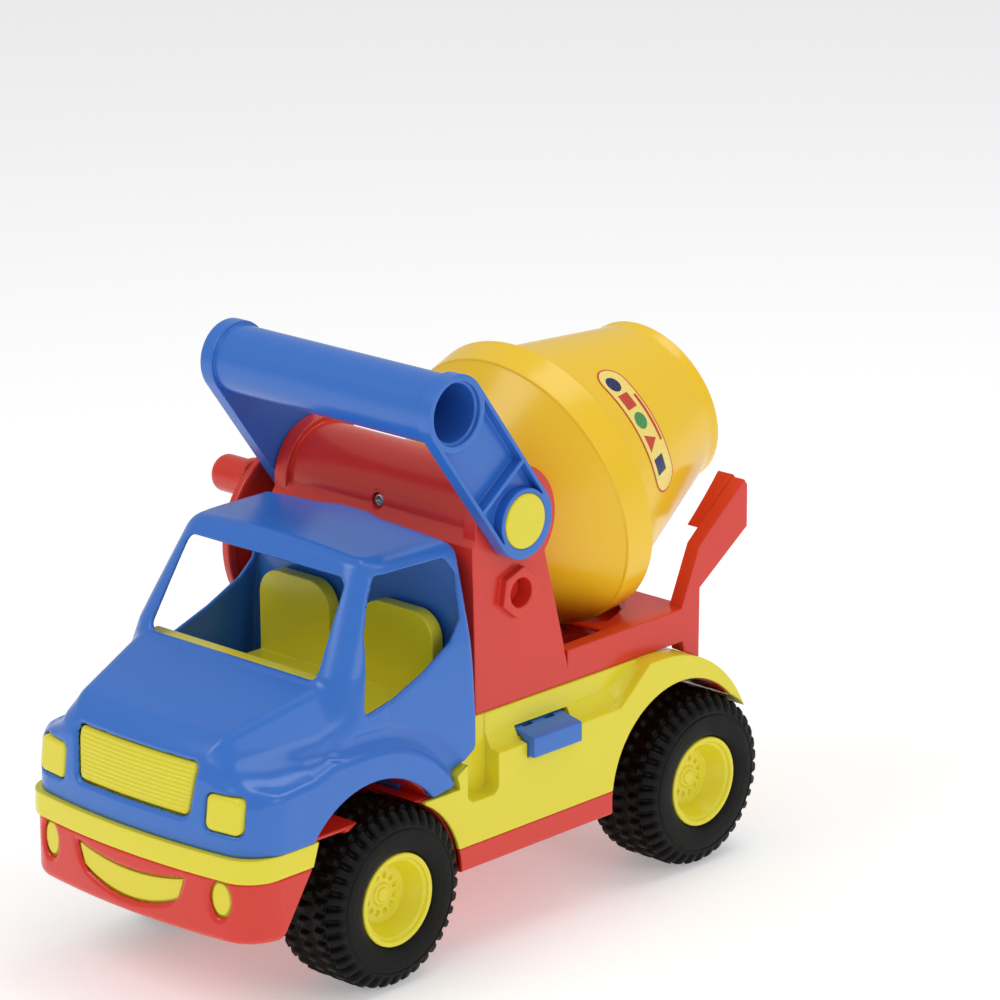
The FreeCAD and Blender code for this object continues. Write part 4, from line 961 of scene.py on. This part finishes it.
def arrow_head(radius, angle, size, direction, x):
    """Flat triangle that points along the ring, +1 with the angle or -1 against it."""
    a = math.radians(angle)
    tip = math.radians(angle + direction * math.degrees(size * 1.3 / radius))
    points = np.array([crank_point(radius - size, a, x), crank_point(radius + size, a, x),
                       crank_point(radius, tip, x)])
    return points, [(0, 1, 2) if direction < 0 else (0, 2, 1)]


# ---------------------------------------------------------------- operators
class MIXER_OT_finishes(bpy.types.Operator):
    """Make the plastics, steels and films, and give every carried piece its finish"""
    bl_idname = "mixer.finishes"
    bl_label = "Finishes"

    def execute(self, context):
        colours = context.scene.mixer_colours
        moulded_plastic("blue_plastic", colours.blue, 0.27)
        moulded_plastic("lemon_plastic", colours.lemon, 0.3, soft=0.08)
        moulded_plastic("drum_plastic", colours.drum, 0.33, soft=0.08)
        moulded_plastic("red_plastic", colours.red, 0.3)
        tyre_plastic("tyre_plastic", colours.tyre)
        zinc_steel("screw_steel", colours.steel)
        printed_film("film_blue", colours.label_blue)
        printed_film("film_cream", colours.label_cream)
        printed_film("film_green", colours.label_green)
        printed_film("film_red", colours.label_red)
        by_slot = {"blue_plastic": "blue_plastic", "lemon_plastic": "lemon_plastic",
                   "drum_plastic": "drum_plastic", "red_plastic": "red_plastic",
                   "tyre": "tyre_plastic", "label_film": "film_blue",
                   "screw_steel": "screw_steel", "axle_steel": "screw_steel"}
        slots = slots_by_node()
        for name, node in frame["nodes"].items():
            node.data.materials.clear()
            node.data.materials.append(finish(by_slot[slots[name]]))
            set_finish(node, slots[name])
        return {"FINISHED"}


def slots_by_node():
    """Material slot of every CAD node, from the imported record."""
    return {part["node"]: part["material_slot"] for part in frame["record"]["subparts"]}


SMALL_FITTINGS = ("screw", "gear", "pinion", "label")
WELD_MM, BEVEL_ANGLE = 0.05, math.radians(32)


class MIXER_OT_soft_edges(bpy.types.Operator):
    """Soften the moulded edges of the remaining pieces of the frame"""
    bl_idname = "mixer.soft_edges"
    bl_label = "Soft edges"

    def execute(self, context):
        width = context.scene.mixer_sizes.edge
        fine = context.scene.mixer_sizes.fine_edge
        for name, node in list(frame["nodes"].items()):
            if node.hide_render:
                continue
            small = any(word in name for word in SMALL_FITTINGS)
            self.soften(name, node, fine if small else width)
        return {"FINISHED"}

    def soften(self, name, node, width):
        """A copy of the node with rounded edges, which stands for it."""
        soft = bpy.data.objects.new("soft_" + name, node.data.copy())
        bpy.context.scene.collection.objects.link(soft)
        weld = soft.modifiers.new("join", "WELD")
        weld.merge_threshold = WELD_MM * MM
        bevel = soft.modifiers.new("edges", "BEVEL")
        bevel.width = width
        bevel.segments = 2
        bevel.limit_method = "ANGLE"
        bevel.angle_limit = BEVEL_ANGLE
        bevel.use_clamp_overlap = False
        bevel.loop_slide = False
        graph = bpy.context.evaluated_depsgraph_get()
        mesh = bpy.data.meshes.new_from_object(soft.evaluated_get(graph))
        soft.modifiers.clear()
        soft.data = mesh
        if name == "base_plate":
            self.drop_front(mesh)
        self.hold_to_surface(mesh, node.data, 0.6 * width)
        mesh.polygons.foreach_set("use_smooth", [True] * len(mesh.polygons))
        even = soft.modifiers.new("even", "WEIGHTED_NORMAL")
        even.keep_sharp = False
        even.weight = 90
        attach(soft, node["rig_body"])
        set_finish(soft, node["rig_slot"])
        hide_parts(name)

    def drop_front(self, mesh):
        """Takes off the part of the base that the bumper moulding makes."""
        cut = bmesh.new()
        cut.from_mesh(mesh)
        place = to_row([0.0, BUMPER_BACK_Y, 0.0])
        bmesh.ops.bisect_plane(cut, geom=cut.verts[:] + cut.edges[:] + cut.faces[:],
                               plane_co=place, plane_no=(0, 1, 0), clear_inner=True)
        cut.to_mesh(mesh)
        cut.free()

    def hold_to_surface(self, mesh, base, reach):
        """Brings back the vertices that rounding has thrown off the original surface."""
        tree = BVHTree.FromPolygons([v.co for v in base.vertices],
                                    [p.vertices for p in base.polygons])
        thrown = {v.index for v in mesh.vertices if tree.find_nearest(v.co)[3] > reach}
        neighbours = {index: [] for index in thrown}
        for edge in mesh.edges:
            a, b = edge.vertices
            if a in thrown and b not in thrown:
                neighbours[a].append(mesh.vertices[b].co.copy())
            if b in thrown and a not in thrown:
                neighbours[b].append(mesh.vertices[a].co.copy())
        for index in thrown:
            vertex = mesh.vertices[index]
            near = neighbours[index]
            place = sum(near, Vector()) / len(near) if near else vertex.co
            found = tree.find_nearest(place)
            vertex.co = found[0] if found[3] > reach else place


class MIXER_OT_cab(bpy.types.Operator):
    """Build the blue cab as one moulded wall with its openings"""
    bl_idname = "mixer.cab"
    bl_label = "Cab"

    def execute(self, context):
        sizes = context.scene.mixer_sizes
        vertices, quads = build_cab(sizes.cab_wall / MM, sizes.cab_cell / MM)
        mesh_piece("cab_moulding", to_row(vertices), quads, ["blue_plastic"], "chassis",
                   "blue_plastic", ["cab_shell"])
        return {"FINISHED"}


class MIXER_OT_face_panels(bpy.types.Operator):
    """Build the grille and the headlights as one insert behind the cab's face"""
    bl_idname = "mixer.face_panels"
    bl_label = "Grille and headlights"

    def execute(self, context):
        vertices, faces = build_face_panels()
        mesh_piece("grille_and_lamps", to_row(vertices), faces, ["lemon_plastic"], "chassis",
                   "lemon_plastic", ["grille_insert"])
        return {"FINISHED"}


class MIXER_OT_bumper(bpy.types.Operator):
    """Build the red bumper and the yellow panels in its openings"""
    bl_idname = "mixer.bumper"
    bl_label = "Bumper"

    def execute(self, context):
        vertices, quads = build_bumper(context.scene.mixer_sizes.cab_cell / MM)
        mesh_piece("bumper_moulding", to_row(vertices), quads, ["red_plastic"], "chassis",
                   "red_plastic")
        vertices, faces = build_bumper_panels()
        mesh_piece("bumper_panels", to_row(vertices), faces, ["lemon_plastic"], "chassis",
                   "lemon_plastic", ["bumper_insert"])
        return {"FINISHED"}


class MIXER_OT_tyres(bpy.types.Operator):
    """Build the four lugged tyres"""
    bl_idname = "mixer.tyres"
    bl_label = "Tyres"

    def execute(self, context):
        sizes = context.scene.mixer_sizes
        for end in ("front", "rear"):
            for hand in ("left", "right"):
                node = f"tyre_{end}_{hand}"
                vertices, faces = build_tyre(node, sizes.lugs, sizes.lug_depth / MM)
                mesh_piece(f"lugged_{node}", to_row(vertices), faces, ["tyre_plastic"],
                           end + "_wheels", "tyre", [node])
        return {"FINISHED"}


class MIXER_OT_rims(bpy.types.Operator):
    """Build the four deep-dished rims"""
    bl_idname = "mixer.rims"
    bl_label = "Rims"

    def execute(self, context):
        for end in ("front", "rear"):
            for hand in ("left", "right"):
                node = f"rim_{end}_{hand}"
                vertices, faces = build_rim(node)
                mesh_piece(f"dished_{node}", to_row(vertices), faces, ["lemon_plastic"],
                           end + "_wheels", "lemon_plastic", [node])
        return {"FINISHED"}


class MIXER_OT_drum(bpy.types.Operator):
    """Turn the two drum halves"""
    bl_idname = "mixer.drum"
    bl_label = "Drum"

    def execute(self, context):
        for name, node, profile in (("drum_cone_front", "drum_front", drum_front_profile()),
                                    ("drum_cone_rear", "drum_rear", drum_rear_profile())):
            vertices, faces = drum_lathe(*profile)
            mesh_piece(name, to_row(vertices), faces, ["drum_plastic"], "drum", "drum_plastic",
                       [node])
        return {"FINISHED"}


class MIXER_OT_drum_labels(bpy.types.Operator):
    """Lay the plain coloured labels on both sides of the drum"""
    bl_idname = "mixer.drum_labels"
    bl_label = "Drum labels"

    def execute(self, context):
        half_length = math.radians(LABEL_HALF_ANGLE) * cone_radius(LABEL_CENTRE)
        w = LABEL_HALF_WIDTH
        layers = [("film_red", stadium(half_length, w), 0.10),
                  ("film_cream", stadium(half_length - 0.9, w - 0.9), 0.15),
                  ("film_red", self.bar(-0.46, 0.3, half_length, 5.6, 7.6), 0.20)]
        shapes = [("film_blue", -0.72, "disc"), ("film_red", -0.42, "square"),
                  ("film_green", -0.1, "disc"), ("film_red", 0.22, "wedge"),
                  ("film_blue", 0.58, "square")]
        for ink, along, kind in shapes:
            layers.append((ink, self.shape(kind, along * half_length, -1.6), 0.20))
        for side, hand in ((1, "left"), (-1, "right")):
            vertices, faces, slots = [], [], []
            inks = ["film_red", "film_cream", "film_green", "film_blue"]
            for ink, outline, lift in layers:
                points, quads = film_on_drum([tuple(p) for p in outline], lift, side)
                faces += [tuple(len(vertices) + i for i in f) for f in quads]
                slots += [inks.index(ink)] * len(quads)
                vertices += list(points)
            mesh_piece(f"drum_label_{hand}", to_row(vertices), faces, inks, "drum", "label_film",
                       face_slots=slots)
        return {"FINISHED"}

    def bar(self, start, end, half_length, low, high):
        return [(start * half_length, low), (end * half_length, low), (end * half_length, high),
                (start * half_length, high)]

    def shape(self, kind, along, across):
        if kind == "square":
            return [(along - 4.4, across - 4.2), (along + 4.4, across - 4.2),
                    (along + 4.4, across + 4.2), (along - 4.4, across + 4.2)]
        if kind == "wedge":
            return [(along - 4.8, across - 4.2), (along + 4.8, across - 4.2),
                    (along, across + 4.6)]
        return [(along + 4.6 * math.cos(a), across + 4.6 * math.sin(a))
                for a in np.linspace(0, 2 * math.pi, 24, endpoint=False)]


class MIXER_OT_crank_label(bpy.types.Operator):
    """Print the ring and the turning arrows on the crank's label"""
    bl_idname = "mixer.crank_label"
    bl_label = "Crank label"

    def execute(self, context):
        low, high = box_mm("crank_label")
        face = low[0] - 0.06
        outer = (high[2] - low[2]) / 2
        parts = [ring_band(outer - 1.6, outer - 0.4, 0, 360, face, 96),
                 ring_band(19.0, 20.2, 0, 360, face, 72)]
        for start, end in ARROW_ARCS:
            parts.append(ring_band(ARROW_RADIUS - ARROW_HALF_WIDTH,
                                   ARROW_RADIUS + ARROW_HALF_WIDTH, start, end, face, 30))
            parts.append(arrow_head(ARROW_RADIUS, start, ARROW_HEAD, -1, face))
            parts.append(arrow_head(ARROW_RADIUS, end, ARROW_HEAD, 1, face))
        vertices, faces = gather(parts)
        mesh_piece("crank_label_print", to_row(vertices), faces, ["drum_plastic"], "crank",
                   "label_film")
        return {"FINISHED"}


FLOOR_HALF = 14.0
LIGHT_TARGET, CAMERA_TARGET = (0, 0, 110), (0, 0, 90)
# Soft lamps: name, place from the target and disc size in metres, power in watts.
LAMPS = [("key", (-0.5, -1.3, 1.5), 1.1, 9.0), ("side", (1.7, -0.1, 0.9), 1.0, 4.5),
         ("top", (0.2, 0.7, 1.8), 1.2, 9.0)]


class MIXER_OT_stage(bpy.types.Operator):
    """Set up the floor, the studio light and the camera"""
    bl_idname = "mixer.stage"
    bl_label = "Stage"

    def execute(self, context):
        stage = context.scene.mixer_stage
        self.floor(context)
        self.light(context, stage.world)
        self.camera(context, stage)
        context.scene.view_settings.view_transform = "Standard"
        return {"FINISHED"}

    def floor(self, context):
        size = FLOOR_HALF
        material, tree, shader = new_material("studio_floor")
        patches = add_noise(tree, 2.0, 2.0)
        link_tint(tree, shader, patches, context.scene.mixer_colours.floor, 0.005)
        shader.inputs["Roughness"].default_value = 0.7
        shader.inputs["Specular IOR Level"].default_value = 0.2
        shader.inputs["Emission Color"].default_value = (1.0, 1.0, 1.0, 1.0)
        shader.inputs["Emission Strength"].default_value = 0.3
        mesh = bpy.data.meshes.new("studio_floor")
        low = CAD_BOUNDS[0][2]
        mesh.from_pydata([(-size, -size, low), (size, -size, low), (size, size, low),
                          (-size, size, low)], [], [(0, 1, 2, 3)])
        mesh.materials.append(material)
        floor = bpy.data.objects.new("studio_floor", mesh)
        context.scene.collection.objects.link(floor)

    def light(self, context, strength):
        world = bpy.data.worlds.new("studio")
        world.use_nodes = True
        background = world.node_tree.nodes["Background"]
        background.inputs["Color"].default_value = (1.0, 1.0, 1.0, 1.0)
        background.inputs["Strength"].default_value = strength
        context.scene.world = world
        target = Vector(to_row(LIGHT_TARGET))
        for name, place, size, power in LAMPS:
            data = bpy.data.lights.new("studio_" + name, "AREA")
            data.shape = "DISK"
            data.size = size
            data.energy = power
            lamp = bpy.data.objects.new("studio_" + name, data)
            lamp.location = target + Vector(place)
            lamp.rotation_euler = (target - lamp.location).to_track_quat("-Z", "Y").to_euler()
            context.scene.collection.objects.link(lamp)

    def camera(self, context, stage):
        a, e = stage.azimuth, stage.elevation
        back = Vector((math.sin(a) * math.cos(e), -math.cos(a) * math.cos(e), math.sin(e)))
        right = Vector((math.cos(a), math.sin(a), 0.0))
        up = back.cross(right)
        c, s = math.cos(stage.roll), math.sin(stage.roll)
        right, up = right * c + up * s, up * c - right * s
        aim = (-back + right * math.tan(stage.pan) + up * math.tan(stage.tilt)).normalized()
        across = (right - aim * right.dot(aim)).normalized()
        above = (-aim).cross(across)
        data = bpy.data.cameras.new("studio_camera")
        data.lens = stage.lens
        data.sensor_width = 36.0
        data.clip_end = 50.0
        camera = bpy.data.objects.new("studio_camera", data)
        target = Vector(to_row(CAMERA_TARGET))
        place = Matrix((across, above, -aim)).transposed().to_4x4()
        place.translation = target + back * stage.distance
        camera.matrix_world = place
        context.scene.collection.objects.link(camera)
        context.scene.camera = camera


class MIXER_PT_panel(bpy.types.Panel):
    """Lists the steps that build the toy cement mixer's looks"""
    bl_idname = "MIXER_PT_panel"
    bl_label = "Toy cement mixer"
    bl_space_type = "VIEW_3D"
    bl_region_type = "UI"
    bl_category = "Mixer"

    def draw(self, context):
        for step in STEPS:
            self.layout.operator(step.bl_idname)
        for group in ("mixer_colours", "mixer_sizes", "mixer_stage"):
            settings = getattr(context.scene, group)
            for name in settings.__annotations__:
                self.layout.prop(settings, name)


STEPS = [MIXER_OT_finishes, MIXER_OT_cab, MIXER_OT_face_panels, MIXER_OT_bumper,
         MIXER_OT_rims, MIXER_OT_tyres, MIXER_OT_drum, MIXER_OT_drum_labels,
         MIXER_OT_crank_label, MIXER_OT_soft_edges, MIXER_OT_stage]
GROUPS = {"mixer_colours": MixerColours, "mixer_sizes": MixerSizes, "mixer_stage": MixerStage}


def register():
    for item in [*GROUPS.values(), *STEPS, MIXER_PT_panel]:
        bpy.utils.register_class(item)
    for name, group in GROUPS.items():
        setattr(bpy.types.Scene, name, PointerProperty(type=group))


def unregister():
    for name in GROUPS:
        delattr(bpy.types.Scene, name)
    for item in [MIXER_PT_panel, *reversed(STEPS), *reversed(GROUPS.values())]:
        bpy.utils.unregister_class(item)


def main():
    register()
    bpy.ops.mixer.finishes()
    bpy.ops.mixer.cab()
    bpy.ops.mixer.face_panels()
    bpy.ops.mixer.bumper()
    bpy.ops.mixer.rims()
    bpy.ops.mixer.tyres()
    bpy.ops.mixer.drum()
    bpy.ops.mixer.drum_labels()
    bpy.ops.mixer.crank_label()
    bpy.ops.mixer.soft_edges()
    bpy.ops.mixer.stage()


if __name__ == "__main__":
    main()
